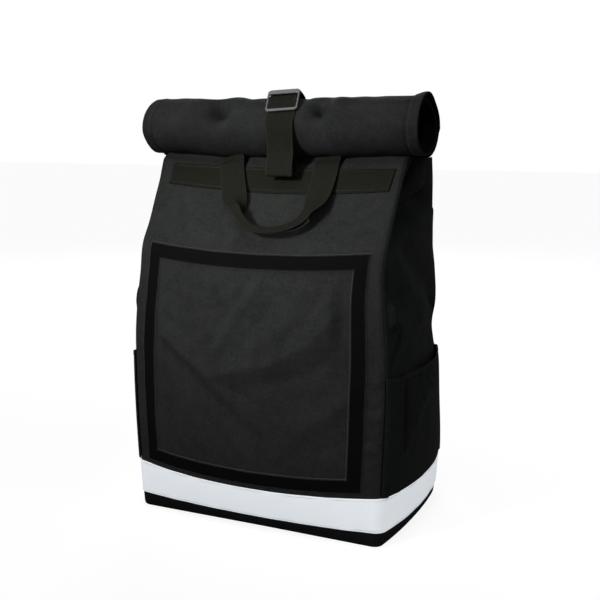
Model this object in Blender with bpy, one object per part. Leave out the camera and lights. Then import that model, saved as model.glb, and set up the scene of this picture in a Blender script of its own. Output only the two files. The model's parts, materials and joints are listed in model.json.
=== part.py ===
"""Roll-top backpack, standing on its base, in metres.

Origin at the middle of the base's underside. +X is to the right as seen from
the front, -Y is the front, +Z is up.

Every cloth piece is a flat sheet laid over one of two surfaces, and a
Solidify modifier gives it its thickness:

* the body's surface, a closed loop of four bulging sides at each height,
* the roll's surface, a spiral drawn in the Y-Z plane and run along X.
"""
import math

import bpy
import numpy as np

# Body sizes
BODY_WIDTH = 0.3825
BODY_DEPTH = 0.2425
MOUTH_HEIGHT = 0.520
CORNER_RADIUS = 0.010
CLOTH = 0.0020
FRONT_BELLY = 0.032
SIDE_BELLY = 0.018
BACK_BELLY = 0.008
FRONT_SAG = 0.010
GUSSET_DEPTH = 0.030
GUSSET_WIDTH = 0.16
CREASE_HEIGHT = 0.006
CREASE_REACH = 0.045
CREASE_MARGIN = 0.014
CREASE_RAMP = 0.025

# Base tray sizes
TRAY_HEIGHT = 0.021
TRAY_WALL = 0.0025

# Gaps between neighbouring pieces
SEAM_GAP = 0.0003
LAY_GAP = 0.0005
LIP_GAP = 0.0008
HOOK_TAPE_GAP = 0.0007

# Rolled mouth sizes
ROLL_LENGTH = 0.426
ROLL_SHEET = 0.0030
ROLL_RADIUS = 0.0405
ROLL_STRETCH = 1.15
ROLL_PITCH = 0.009
ROLL_TURNS = 2.5
ROLL_OVERHANG = 0.0575
ROLL_LIP_BEND = 0.006
DENT_DEPTH = 0.008

# Trim sizes
TAPE_WIDTH = 0.050
TAPE_THICKNESS = 0.0010
HOOK_TAPE_WIDTH = 0.022
HOOK_TAPE_THICKNESS = 0.0016
HOOK_FRAME_WIDTH = 0.338
HOOK_FRAME_BOTTOM = 0.0775
HOOK_FRAME_TOP = 0.4025
HOOK_FRAME_SHIFT = -0.0036
WEBBING_WIDTH = 0.040
WEBBING = 0.0015
BAND_BOTTOM = 0.481
BAND_TOP = 0.509
BAND_LEFT = -0.176
BAND_RIGHT = 0.176
BAND_SLANT = 0.008

# Grab handle sizes
HANDLE_TOP = 0.510
HANDLE_DROP = 0.0695
HANDLE_LEAN = 0.010
HANDLE_CENTRE = 0.0135
HANDLE_SPREAD = 0.0715
GRIP_HEIGHT = 0.015
GRIP_THICKNESS = 0.0044
GRIP_STANDOFF = 0.017

# Closure strap and slider sizes
STRAP_FRONT_X = 0.0175
STRAP_SKEW = -0.021
TAIL_END_HEIGHT = 0.496
STRAP_ANCHOR_HEIGHT = 0.400
SLIDER_WIDTH = 0.048
SLIDER_LENGTH = 0.042
SLIDER_THICKNESS = 0.0026
SLIDER_BAR = 0.0050
SLIDER_REAR_BAR = 0.0085
SLIDER_MIDDLE_BAR = 0.0040
SLIDER_ANGLE = 120.0
SLIDER_LIFT = 0.0036
SLIDER_TILT = 30.0
SLIDER_TURN = 8.0

# Side pocket sizes
POCKET_TOP = 0.236
POCKET_DIP = 0.004
POCKET_STANDOFF = 0.013
POCKET_MARGIN = 0.010

# Shoulder strap sizes
SHOULDER_TOP = 0.430
SHOULDER_BOTTOM = 0.165
SHOULDER_TOP_X = 0.052
SHOULDER_BOTTOM_X = 0.125
SHOULDER_WIDTH = 0.062
SHOULDER_PAD = 0.010
SHOULDER_STANDOFF = 0.030
LOWER_WEBBING_WIDTH = 0.025
LOWER_WEBBING_END = 0.090
ADJUSTER_WIDTH = 0.034
ADJUSTER_LENGTH = 0.030
ADJUSTER_THICKNESS = 0.0035
ADJUSTER_BAR = 0.0045

# Mesh density: points along each side of the loop, and rows up the body
FRONT_STEPS = 14
SIDE_STEPS = 8
BACK_STEPS = 7
BODY_ROWS = 18

# Colours
BLACK_CLOTH = (0.016, 0.017, 0.017)
BLACK_PILE = (0.006, 0.006, 0.006)
WEBBING_BLACK = (0.015, 0.015, 0.012)
SILVER = (0.80, 0.82, 0.86)
GUNMETAL = (0.20, 0.20, 0.20)

# Body sections. Heights are shares of MOUTH_HEIGHT, front and back are shares
# of BODY_DEPTH behind the front base edge, half widths are shares of half of
# BODY_WIDTH, and the rest are shares of the named belly, sag and gusset sizes.
SECTION_COLUMNS = (
    "height", "front", "back", "front_half", "back_half",
    "front_belly", "side_belly", "back_belly", "sag", "gusset")
SECTIONS = np.array((
    (0.000, 0.000, 1.000, 1.000, 1.000, 0.00, 0.40, 0.0, 0.00, 0.00),
    (0.040, 0.000, 1.003, 1.004, 1.006, 0.34, 0.70, 0.3, 0.12, 0.00),
    (0.137, 0.000, 1.006, 1.015, 1.018, 0.86, 1.00, 0.8, 0.55, 0.00),
    (0.300, 0.000, 1.000, 1.035, 1.006, 1.00, 0.95, 1.0, 0.80, 0.00),
    (0.440, 0.000, 0.985, 1.042, 0.990, 0.92, 0.75, 1.0, 0.90, 0.00),
    (0.510, 0.000, 0.960, 1.040, 0.965, 0.86, 0.60, 0.9, 0.95, 0.00),
    (0.590, 0.002, 0.985, 1.022, 0.985, 0.78, 0.55, 0.9, 1.00, 0.00),
    (0.680, 0.018, 0.975, 1.000, 0.980, 0.68, 0.40, 0.8, 1.00, 0.05),
    (0.770, 0.055, 0.925, 0.997, 0.975, 0.56, 0.25, 0.6, 1.00, 0.20),
    (0.820, 0.122, 0.895, 0.997, 0.985, 0.46, 0.15, 0.4, 0.95, 0.40),
    (0.880, 0.193, 0.850, 0.998, 1.000, 0.34, 0.05, 0.3, 0.85, 0.65),
    (0.940, 0.268, 0.770, 1.000, 1.030, 0.24, 0.00, 0.2, 0.75, 0.85),
    (1.000, 0.335, 0.660, 1.008, 1.065, 0.15, 0.00, 0.0, 0.70, 1.00),
))

# Creases of the front panel, inside the frame of tape: a V whose arms run up
# to both sides. Height as a share of CREASE_HEIGHT, then both ends of the
# line: x as a share of half of BODY_WIDTH and z as a share of MOUTH_HEIGHT.
CREASE_COLUMNS = ("height", "x0", "z0", "x1", "z1")
FRONT_CREASES = (
    (1.00, -0.79, 0.515, -0.34, 0.427),
    (0.45, -0.34, 0.427, 0.07, 0.337),
    (0.85, -0.34, 0.427, -0.03, 0.452),
    (1.00, -0.03, 0.452, 0.28, 0.527),
    (1.00, 0.28, 0.527, 0.78, 0.663),
)

# Dents in the roll: place along X as a share of half of ROLL_LENGTH, angle
# round the roll in degrees (90 is the top, 180 the front), reach along X as a
# share of half of ROLL_LENGTH, reach in degrees, depth as a share of
# DENT_DEPTH. A negative depth is a swelling.
DENT_COLUMNS = ("place", "angle", "reach", "spread", "depth")
ROLL_DENTS = (
    (-0.44, 118.0, 0.10, 30.0, 1.00),
    (-0.30, 100.0, 0.11, 40.0, -0.30),
    (0.33, 122.0, 0.08, 34.0, 0.85),
    (-0.72, 150.0, 0.16, 50.0, -0.20),
    (0.62, 160.0, 0.14, 50.0, -0.22),
    (0.98, 180.0, 0.08, 60.0, 0.35),
    (-0.98, 165.0, 0.06, 60.0, 0.45),
)


def clear_scene():
    """Remove every object of the open scene."""
    for thing in list(bpy.context.scene.objects):
        bpy.data.objects.remove(thing, do_unlink=True)


def smooth_table(share, column):
    """Read a column of SECTIONS at a height share, by a cubic Hermite curve.

    The slope at each row is that of the line between its two neighbours.
    """
    xs = SECTIONS[:, 0]
    ys = SECTIONS[:, SECTION_COLUMNS.index(column)]
    slopes = np.gradient(ys, xs)
    share = np.clip(np.asarray(share, float), 0.0, 1.0)
    i = np.clip(np.searchsorted(xs, share, side="right") - 1, 0, len(xs) - 2)
    step = xs[i + 1] - xs[i]
    t = (share - xs[i]) / step
    return (ys[i] * (1 + 2 * t) * (1 - t) ** 2
            + ys[i + 1] * t * t * (3 - 2 * t)
            + slopes[i] * step * t * (1 - t) ** 2
            - slopes[i + 1] * step * t * t * (1 - t))


def hump(t):
    """A pillow's outline: 0 at t = 0 and 1, 1 in the middle."""
    return 1.0 - np.abs(2.0 * t - 1.0) ** 2.2


def ramp(distance, reach):
    """A smooth step: 0 before distance 0, 1 past reach."""
    share = np.clip(distance / reach, 0.0, 1.0)
    return share * share * (3 - 2 * share)


def front_crease(x, height):
    """How far the front panel's creases stand out, 0 at the frame of tape.

    Each crease is a tent over its line, so its sides fall away from a crest.
    """
    crest = np.zeros(np.broadcast(x, height).shape)
    for row in FRONT_CREASES:
        crease = dict(zip(CREASE_COLUMNS, row))
        x0, x1 = (crease[k] * BODY_WIDTH / 2 for k in ("x0", "x1"))
        z0, z1 = (crease[k] * MOUTH_HEIGHT for k in ("z0", "z1"))
        run_x, run_z = x1 - x0, z1 - z0
        along = ((x - x0) * run_x + (height - z0) * run_z) / (run_x ** 2 + run_z ** 2)
        along = np.clip(along, 0.0, 1.0)
        away = np.hypot(x - x0 - along * run_x, height - z0 - along * run_z)
        crest = np.maximum(crest, crease["height"] * np.exp(-away / CREASE_REACH))
    inside = HOOK_FRAME_WIDTH / 2 - HOOK_TAPE_WIDTH - CREASE_MARGIN
    edges = (inside - np.abs(x - HOOK_FRAME_SHIFT),
             height - HOOK_FRAME_BOTTOM - HOOK_TAPE_WIDTH - CREASE_MARGIN,
             HOOK_FRAME_TOP - HOOK_TAPE_WIDTH - CREASE_MARGIN - height)
    for edge in edges:
        crest = crest * ramp(edge, CREASE_RAMP)
    return CREASE_HEIGHT * crest


def body_place(side, t, height):
    """Point on the body: side name, t from 0 to 1 along it, fabric height.

    Sides run counter-clockwise seen from above: front, right, back, left.
    """
    t, height = np.broadcast_arrays(np.asarray(t, float), np.asarray(height, float))
    share = height / MOUTH_HEIGHT
    front_y = (smooth_table(share, "front") - 0.5) * BODY_DEPTH
    back_y = (smooth_table(share, "back") - 0.5) * BODY_DEPTH
    front_x = smooth_table(share, "front_half") * BODY_WIDTH / 2
    back_x = smooth_table(share, "back_half") * BODY_WIDTH / 2
    sag = smooth_table(share, "sag") * FRONT_SAG
    mouth = np.clip((share - 0.88) / 0.12, 0.0, 1.0) ** 2
    if side == "front":
        x = front_x * (2 * t - 1)
        y = front_y - FRONT_BELLY * smooth_table(share, "front_belly") * hump(t)
        y = y - front_crease(x, height)
        hold = 1.0
    elif side == "back":
        x = back_x * (1 - 2 * t)
        y = back_y + BACK_BELLY * smooth_table(share, "back_belly") * hump(t)
        hold = mouth
    else:
        depth = t if side == "right" else 1 - t
        crease = 0.06 + 0.40 * np.clip((share - 0.78) / 0.22, 0.0, 1.0)
        tuck = np.exp(-((depth - crease) / GUSSET_WIDTH) ** 2)
        tuck = tuck * hump(depth) * smooth_table(share, "gusset")
        out = front_x + (back_x - front_x) * depth
        out = out + SIDE_BELLY * smooth_table(share, "side_belly") * hump(depth)
        out = out - GUSSET_DEPTH * tuck
        x = out if side == "right" else -out
        y = front_y + (back_y - front_y) * depth
        hold = mouth
    middle = 1 - np.clip(np.abs(x) / (BODY_WIDTH / 2), 0.0, 1.0) ** 2
    return np.stack([x, y, height - sag * hold * middle], axis=-1)


def body_point(side, t, height, lift):
    """Point over the body's surface, lifted along its outward normal."""
    nudge = 0.004
    along = body_place(side, t + nudge, height) - body_place(side, t - nudge, height)
    below = np.maximum(np.asarray(height, float) - 0.002, 0.0)
    up = body_place(side, t, height) - body_place(side, t, below)
    normal = np.cross(along, up)
    normal /= np.linalg.norm(normal, axis=-1, keepdims=True)
    return body_place(side, t, height) + normal * np.asarray(lift, float)[..., None]


def loop_stations():
    """Side names and t values of the points round the body's loop."""
    stations = []
    across = CORNER_RADIUS / BODY_WIDTH
    along = CORNER_RADIUS / BODY_DEPTH
    plan = (("front", FRONT_STEPS, across), ("right", SIDE_STEPS, along),
            ("back", BACK_STEPS, across), ("left", SIDE_STEPS, along))
    for side, steps, margin in plan:
        for t in np.linspace(margin, 1 - margin, steps + 1):
            stations.append((side, t))
        stations.append((side, None))
    return stations


def body_loop(height):
    """One closed ring of the body's outer surface at a fabric height.

    Each corner's middle point lies on the quarter circle that joins two
    sides: 1 - 1/sqrt(2) of the radius in from the corner, both ways.
    """
    ring = []
    inset = (1 - 1 / math.sqrt(2)) * CORNER_RADIUS
    for side, t in loop_stations():
        if t is not None:
            ring.append(body_place(side, t, height))
            continue
        corner = body_place(side, 1.0, height)
        inward = -np.sign(corner[:2])
        if side == "right" or side == "back":
            inward[1] = -1.0
        else:
            inward[1] = 1.0
        ring.append(corner + np.array([inward[0] * inset, inward[1] * inset, 0.0]))
    return np.array(ring)


def outward_ring(ring, next_ring, lift):
    """Move a closed ring out along its normals by lift."""
    along = np.roll(ring, -1, axis=0) - np.roll(ring, 1, axis=0)
    normal = np.cross(along, next_ring - ring)
    normal /= np.linalg.norm(normal, axis=1, keepdims=True)
    return ring + normal * lift


def make_material(name, colour, roughness, metallic=0.0):
    """One Principled material."""
    material = bpy.data.materials.new(name)
    material.use_nodes = True
    shader = material.node_tree.nodes["Principled BSDF"]
    shader.inputs["Base Color"].default_value = (*colour, 1.0)
    shader.inputs["Roughness"].default_value = roughness
    shader.inputs["Metallic"].default_value = metallic
    return material


def make_object(name, points, faces, material):
    """A mesh object of the given points and faces."""
    mesh = bpy.data.meshes.new(name)
    mesh.from_pydata([tuple(map(float, p)) for p in points], [], faces)
    mesh.update()
    mesh.materials.append(material)
    thing = bpy.data.objects.new(name, mesh)
    bpy.context.scene.collection.objects.link(thing)
    return thing


def grid_faces(rows, columns, closed=False):
    """Quads of a grid of rows by columns, wound to face its outer side."""
    faces = []
    span = columns if closed else columns - 1
    for r in range(rows - 1):
        for c in range(span):
            d = (c + 1) % columns
            faces.append((r * columns + c, r * columns + d,
                          (r + 1) * columns + d, (r + 1) * columns + c))
    return faces


def thicken(thing, thickness, offset):
    """Give a sheet its thickness: offset 1 outward, -1 inward, 0 both ways."""
    solid = thing.modifiers.new("thickness", "SOLIDIFY")
    solid.thickness = thickness
    solid.offset = offset
    solid.use_even_offset = True
    solid.use_quality_normals = True
    return thing


def sheet(name, grid, thickness, offset, material, closed=False):
    """A cloth piece from a grid of points, with its wall."""
    rows, columns = grid.shape[:2]
    faces = grid_faces(rows, columns, closed)
    thing = make_object(name, grid.reshape(-1, 3), faces, material)
    return thicken(thing, thickness, offset)


def sweep(name, centre, widthwise, widths, thicknesses, material):
    """A strap: a rectangle carried along a path, with flat ends.

    centre and widthwise hold a point and the unit vector across the strap at
    each station. The thickness runs along path direction x widthwise.
    """
    centre = np.asarray(centre, float)
    widthwise = np.asarray(widthwise, float)
    direction = np.gradient(centre, axis=0)
    direction /= np.linalg.norm(direction, axis=1, keepdims=True)
    widthwise = widthwise - direction * np.sum(widthwise * direction, axis=1, keepdims=True)
    widthwise /= np.linalg.norm(widthwise, axis=1, keepdims=True)
    thin = np.cross(direction, widthwise)
    half_w = np.asarray(widths, float)[:, None] / 2
    half_t = np.asarray(thicknesses, float)[:, None] / 2
    corners = ((-1, -1), (1, -1), (1, 1), (-1, 1))
    grid = np.stack([centre + a * half_w * widthwise + b * half_t * thin
                     for a, b in corners], axis=1)
    count = len(centre)
    faces = grid_faces(count, 4, closed=True)
    faces.append((3, 2, 1, 0))
    last = (count - 1) * 4
    faces.append((last, last + 1, last + 2, last + 3))
    return make_object(name, grid.reshape(-1, 3), faces, material)


def smooth_path(points, count):
    """Points along a cubic curve through a few chosen points.

    Each point may hold more columns after its first three, which follow.
    """
    points = np.asarray(points, float)
    steps = np.linalg.norm(np.diff(points[:, :3], axis=0), axis=1)
    place = np.concatenate([[0.0], np.cumsum(np.sqrt(steps))])
    slopes = np.gradient(points, place, axis=0)
    wanted = np.linspace(0.0, place[-1], count)
    i = np.clip(np.searchsorted(place, wanted, side="right") - 1, 0, len(place) - 2)
    step = (place[i + 1] - place[i])[:, None]
    t = (wanted[:, None] - place[i][:, None]) / step
    return (points[i] * (1 + 2 * t) * (1 - t) ** 2
            + points[i + 1] * t * t * (3 - 2 * t)
            + slopes[i] * step * t * (1 - t) ** 2
            - slopes[i + 1] * step * t * t * (1 - t))


def roll_centre():
    """Y and Z of the spiral's centre, from the mouth and the overhang."""
    y = ROLL_OVERHANG - BODY_DEPTH / 2 + ROLL_RADIUS * ROLL_STRETCH - ROLL_SHEET / 2
    low = ROLL_RADIUS - 0.5 * ROLL_PITCH
    z = MOUTH_HEIGHT + LIP_GAP + SEAM_GAP + 1.5 * ROLL_SHEET + low
    return y, z


def mouth_sag(x):
    """How far the mouth hangs down at a place along X."""
    share = np.clip(np.abs(x) / (BODY_WIDTH / 2), 0.0, 1.0)
    return FRONT_SAG * SECTIONS[-1, SECTION_COLUMNS.index("sag")] * (1 - share ** 2)


def roll_dent(x, angle):
    """Inward dent of the roll at a place along X and an angle in degrees."""
    depth = np.zeros(np.broadcast(x, angle).shape)
    for row in ROLL_DENTS:
        dent = dict(zip(DENT_COLUMNS, row))
        along = (x / (ROLL_LENGTH / 2) - dent["place"]) / dent["reach"]
        around = (angle % 360.0 - dent["angle"]) / dent["spread"]
        depth = depth + DENT_DEPTH * dent["depth"] * np.exp(-along ** 2 - around ** 2)
    return depth


def roll_point(x, angle, lift):
    """Point on the middle of the rolled sheet, lifted outward.

    The radius shrinks by ROLL_PITCH a turn. 0 is the back, 90 the top, 180
    the front, 270 the underside, and so on inward. Lower parts hang down
    with the mouth.
    """
    x, angle, lift = np.broadcast_arrays(
        np.asarray(x, float), np.asarray(angle, float), np.asarray(lift, float))
    centre_y, centre_z = roll_centre()
    turn = np.radians(angle)
    inner = np.clip((angle - 360.0) / 360.0, 0.0, 1.0)
    radius = ROLL_RADIUS - ROLL_PITCH * (angle - 90.0) / 360.0
    radius = radius - roll_dent(x, angle) * (1 - 0.5 * inner)
    y = centre_y + (radius * ROLL_STRETCH + lift) * np.cos(turn)
    z = centre_z + (radius + lift) * np.sin(turn)
    z = z - mouth_sag(x) * (1 - np.sin(turn)) / 2
    return np.stack([x, y, z], axis=-1)


def roll_profile(x):
    """Middle line of the rolled sheet at one X, from the front lip inward."""
    rim_front = body_place("front", 0.5, MOUTH_HEIGHT)[1]
    lip_y = rim_front + CLOTH
    lip_z = MOUTH_HEIGHT + LIP_GAP + ROLL_SHEET / 2 - mouth_sag(x)
    back = roll_point(x, 0.0, 0.0)
    corner_y = back[1]
    points = [(x, lip_y, lip_z), (x, (lip_y + corner_y) / 2, lip_z)]
    for turn in (270.0, 300.0, 330.0, 360.0):
        a = math.radians(turn)
        points.append((x, corner_y - ROLL_LIP_BEND + ROLL_LIP_BEND * math.cos(a),
                       lip_z + ROLL_LIP_BEND + ROLL_LIP_BEND * math.sin(a)))
    if abs(x) > BODY_WIDTH / 2 + CLOTH:
        wrapped = (285.0, 298.0, 311.0, 324.0, 337.0, 350.0)
        lift = ROLL_SHEET + LAY_GAP + np.array([0.0, 0.0, 0.0002, 0.0008, 0.0025, 0.0055])
        points = list(roll_point(x, wrapped, lift))
    angles = np.arange(0.0, 360.0 * ROLL_TURNS - 44.0, 22.5)
    points.extend(roll_point(x, angles, 0.0))
    return np.array(points)


def build_roll(material):
    """The rolled mouth: profiles along X, joined into one sheet."""
    half = ROLL_LENGTH / 2
    shares = (-1.0, -0.9, -0.78, -0.66, -0.54, -0.44, -0.34, -0.2, -0.06,
              0.08, 0.2, 0.33, 0.46, 0.6, 0.75, 0.9, 1.0)
    grid = np.array([roll_profile(s * half) for s in shares])
    return sheet("roll_top", grid, ROLL_SHEET, 0.0, material)


def tape_rows():
    """Heights of the rings that the reflective tape covers."""
    return np.linspace(TRAY_HEIGHT + SEAM_GAP, TRAY_HEIGHT + TAPE_WIDTH, 4)


def body_rows():
    """Heights of the body's rings, from the tray's rim to the mouth."""
    upper = np.linspace(TRAY_HEIGHT + TAPE_WIDTH, MOUTH_HEIGHT, BODY_ROWS)
    return np.concatenate([tape_rows()[:-1], upper])


def rows_between(low, high):
    """The body's ring heights between two heights, with both ends."""
    inside = [h for h in body_rows() if low + 0.004 < h < high - 0.004]
    return np.array([low] + inside + [high])


def build_body(material):
    """The woven body, a tube from the tray's rim to the mouth."""
    grid = np.array([body_loop(h) for h in body_rows()])
    return sheet("body_shell", grid, CLOTH, -1.0, material, closed=True)


def build_tray(material):
    """The base panel with its upstand."""
    heights = (0.0, 0.4 * TRAY_HEIGHT, TRAY_HEIGHT)
    grid = np.array([body_loop(h) for h in heights])
    grid[0, :, 2] = 0.0
    columns = grid.shape[1]
    faces = grid_faces(len(heights), columns, closed=True)
    faces.append(tuple(reversed(range(columns))))
    thing = make_object("base_tray", grid.reshape(-1, 3), faces, material)
    return thicken(thing, TRAY_WALL, -1.0)


def build_reflective_band(material):
    """The silver tape, a ring over the body's lower end."""
    heights = tape_rows()
    rings = [body_loop(h) for h in heights]
    rings.append(body_loop(heights[-1] + TAPE_WIDTH / 4))
    grid = np.array([outward_ring(rings[i], rings[i + 1], LAY_GAP)
                     for i in range(len(heights))])
    return sheet("reflective_band", grid, TAPE_THICKNESS, 1.0, material, closed=True)


def front_spot(x, height, lift):
    """Point over the front panel at a distance x from its middle line."""
    return body_point("front", 0.5 + np.asarray(x) / BODY_WIDTH, height, lift)


def build_hook_frame(material):
    """The square frame of hook-and-loop tape: an outer and an inner loop."""
    left = HOOK_FRAME_SHIFT - HOOK_FRAME_WIDTH / 2
    right = HOOK_FRAME_SHIFT + HOOK_FRAME_WIDTH / 2
    inner = rows_between(HOOK_FRAME_BOTTOM + HOOK_TAPE_WIDTH,
                         HOOK_FRAME_TOP - HOOK_TAPE_WIDTH)[1:-1]

    def loop(inset):
        xs = np.linspace(left + inset, right - inset, 11)
        zs = np.concatenate([
            np.linspace(HOOK_FRAME_BOTTOM + inset, inner[0], 3)[:-1], inner,
            np.linspace(inner[-1], HOOK_FRAME_TOP - inset, 4)[1:]])
        spots = [(x, zs[0]) for x in xs[:-1]]
        spots += [(xs[-1], z) for z in zs[:-1]]
        spots += [(x, zs[-1]) for x in xs[:0:-1]]
        spots += [(xs[0], z) for z in zs[:0:-1]]
        spots = np.array(spots)
        return front_spot(spots[:, 0], spots[:, 1], np.full(len(spots), HOOK_TAPE_GAP))

    grid = np.array([loop(0.0), loop(HOOK_TAPE_WIDTH / 2), loop(HOOK_TAPE_WIDTH)])
    return sheet("hook_loop_frame", grid, HOOK_TAPE_THICKNESS, 1.0, material, closed=True)


def build_webbing_band(material):
    """The webbing across the front under the roll, with slanted ends."""
    rows = []
    for share in (0.0, 0.5, 1.0):
        height = BAND_BOTTOM + share * (BAND_TOP - BAND_BOTTOM)
        left = BAND_LEFT + share * BAND_SLANT * 0.3
        xs = np.linspace(left, BAND_RIGHT + share * BAND_SLANT, 17)
        rows.append(front_spot(xs, np.full(17, height), np.full(17, LAY_GAP)))
    return sheet("webbing_band", np.array(rows), WEBBING, 1.0, material)


def build_handle(material):
    """The carry loop: flat legs, and a grip folded double.

    Columns: place along X and drop as shares of the spread and the drop,
    stand-off, width and thickness as shares of the grip's, where a leg's
    width is 1 of WEBBING_WIDTH.
    """
    half_path = (
        # side, drop, stand-off, leg width share, thickness share
        (1.00, 0.00, 0.18, 1.00, 0.45),
        (0.95, 0.35, 0.42, 0.98, 0.45),
        (0.87, 0.68, 0.70, 0.80, 0.60),
        (0.70, 0.87, 0.90, 0.56, 0.85),
        (0.36, 0.97, 1.00, 0.40, 1.00),
    )
    rows = [(-a, b, c, d, e) for a, b, c, d, e in half_path]
    rows.append((0.0, 1.0, 1.0, GRIP_HEIGHT / WEBBING_WIDTH, 1.0))
    rows += list(reversed(half_path))
    rows = smooth_path(rows, 25)
    x = HANDLE_CENTRE + rows[:, 0] * HANDLE_SPREAD + rows[:, 1] * HANDLE_LEAN
    height = HANDLE_TOP - rows[:, 1] * HANDLE_DROP
    lift = rows[:, 2] * GRIP_STANDOFF
    centre = front_spot(x, height, lift)
    outer = front_spot(x, height, lift + 0.001)
    normal = outer - centre
    direction = np.gradient(centre, axis=0)
    widthwise = np.cross(normal, direction)
    return sweep("grab_handle", centre, widthwise, rows[:, 3] * WEBBING_WIDTH,
                 rows[:, 4] * GRIP_THICKNESS, material)


def strap_x(share):
    """Place of the closure strap along X: it runs slightly askew."""
    return STRAP_FRONT_X + STRAP_SKEW * share


def strap_lift(layers):
    """Lift of a strap's middle over the middle of the rolled sheet."""
    clear = ROLL_SHEET / 2 + LAY_GAP + WEBBING / 2
    return clear + layers * (WEBBING + LAY_GAP)


def build_strap_front(material):
    """The lower strap: from the front panel up the roll, under the slider."""
    low = strap_lift(0)
    on_band = LAY_GAP + WEBBING + 2 * LAY_GAP + WEBBING / 2
    panel = [front_spot(strap_x(0.0), h, on_band)
             for h in (BAND_BOTTOM + 0.010, BAND_TOP - 0.010, BAND_TOP - 0.004)]
    roll = [roll_point(strap_x(0.2), 208.0, low + 0.0016)]
    roll += [roll_point(strap_x(0.2), a, low + 0.0004) for a in (197.0, 185.0, 172.0, 160.0, 151.0)]
    bridge = [panel[-1] * 0.5 + roll[0] * 0.5 + np.array([0.0, -0.005, -0.001])]
    path = smooth_path(panel + bridge + roll, 16)
    across = np.tile([1.0, 0.0, 0.0], (len(path), 1))
    width = np.full(len(path), WEBBING_WIDTH)
    return sweep("closure_strap_front", path, across, width,
                 np.full(len(path), WEBBING), material)


def build_strap_back(material):
    """The closing strap: up the back, over the roll, through the slider.

    It passes under the slider's rear bar, over its middle bar and under its
    front bar, and hangs down in front as a free tail.
    """
    place, along, out, across = slider_frame()
    half = SLIDER_LENGTH / 2
    bar = SLIDER_THICKNESS / 2 + LAY_GAP + WEBBING / 2
    weave = (
        # place along the slider, height over its middle plane
        (-half - SLIDER_BAR, -bar * 1.3),
        (-half, -bar * 1.05),
        (-half + SLIDER_BAR / 2, -bar),
        (-half + SLIDER_BAR + WEBBING, -bar * 0.95),
        (-SLIDER_MIDDLE_BAR, bar * 0.85),
        (0.0, bar * 1.04),
        (SLIDER_MIDDLE_BAR, bar * 0.85),
        (half - SLIDER_REAR_BAR - WEBBING, -bar * 0.95),
        (half - SLIDER_REAR_BAR / 2, -bar),
        (half, -bar),
    )
    through = [place + along * y + out * z for y, z in weave]
    front_y = roll_point(strap_x(0.1), 180.0, strap_lift(1) + 0.0008)[1]
    tail = [(strap_x(0.0), front_y - 0.006, TAIL_END_HEIGHT),
            (strap_x(0.03), front_y - 0.002, TAIL_END_HEIGHT + 0.014),
            (strap_x(0.06), front_y, TAIL_END_HEIGHT + 0.034)]
    climb = (
        # angle round the roll, lift, share of the skew
        (176.0, strap_lift(1) + 0.0008, 0.18),
        (161.0, strap_lift(1) + 0.0008, 0.26),
    )
    ride = (
        (72.0, strap_lift(0) + 0.0016, 0.85),
        (56.0, strap_lift(0), 0.90),
        (35.0, strap_lift(0), 0.95),
        (12.0, strap_lift(0), 0.98),
        (0.0, strap_lift(0) + 0.0006, 1.0),
    )
    up_roll = [roll_point(strap_x(s), a, lift) for a, lift, s in climb]
    over_roll = [roll_point(strap_x(s), a, lift) for a, lift, s in ride]
    heights = rows_between(STRAP_ANCHOR_HEIGHT, 0.94 * MOUTH_HEIGHT)[::-1]
    back = [back_spot(strap_x(1.0), h, 1.6 * LAY_GAP + WEBBING / 2) for h in heights]
    before = tail + up_roll
    after = over_roll + back
    straight = [1.0, 0.0, 0.0]
    widthwise = [straight] * len(before) + [across] * len(through) + [straight] * len(after)
    rows = np.hstack([np.array(before + through + after), np.array(widthwise)])
    path = smooth_path(rows, 70)
    return sweep("closure_strap_back", path[:, :3], path[:, 3:],
                 np.full(len(path), WEBBING_WIDTH), np.full(len(path), WEBBING), material)


def ladder_plate(name, width, length, thickness, bars, frame_bar, material):
    """A flat buckle: a plate cut through between its cross bars.

    bars lists the near and far edge of each cross bar along the length, the
    first and last being the plate's own ends. The plate lies in X-Y.
    """
    inner = width / 2 - frame_bar
    chamfer = min(frame_bar, 0.004)
    half = width / 2
    ys = []
    for near, far in bars:
        ys += [near, far]
    xs = (-half, -inner, inner, half)
    points = []
    for z in (-thickness / 2, thickness / 2):
        for row, y in enumerate(ys):
            for column, x in enumerate(xs):
                end = row in (0, len(ys) - 1) and column in (0, 3)
                points.append((x - math.copysign(chamfer, x) * end, y, z))
    count = len(ys) * 4
    faces = []
    solid = {}
    for row in range(len(ys) - 1):
        for column in range(3):
            if column == 1 and row % 2 == 1:
                continue
            solid[(row, column)] = True
            a = row * 4 + column
            faces.append((a, a + 4, a + 5, a + 1))
            faces.append((a + count, a + 1 + count, a + 5 + count, a + 4 + count))
    for row, column in solid:
        a = row * 4 + column
        edges = {(row - 1, column): (a, a + 1), (row + 1, column): (a + 5, a + 4),
                 (row, column - 1): (a + 4, a), (row, column + 1): (a + 1, a + 5)}
        for neighbour, (p, q) in edges.items():
            if neighbour not in solid:
                faces.append((p, q, q + count, p + count))
    thing = make_object(name, points, faces, material)
    bevel = thing.modifiers.new("round", "BEVEL")
    bevel.width = thickness * 0.28
    bevel.segments = 1
    bevel.limit_method = "ANGLE"
    return thing


def slider_frame():
    """The slider's place, and the unit vectors along it, out of it and across.

    It is tilted about X by SLIDER_TILT and turned about Z by SLIDER_TURN.
    """
    place = roll_point(strap_x(0.55), SLIDER_ANGLE, ROLL_SHEET / 2 + SLIDER_LIFT)
    tilt = math.radians(SLIDER_TILT)
    turn = math.radians(SLIDER_TURN)
    ct, st = math.cos(tilt), math.sin(tilt)
    cz, sz = math.cos(turn), math.sin(turn)
    along = np.array([-sz * ct, cz * ct, st])
    out = np.array([sz * st, -cz * st, ct])
    across = np.array([cz, sz, 0.0])
    return place, along, out, across


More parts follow.
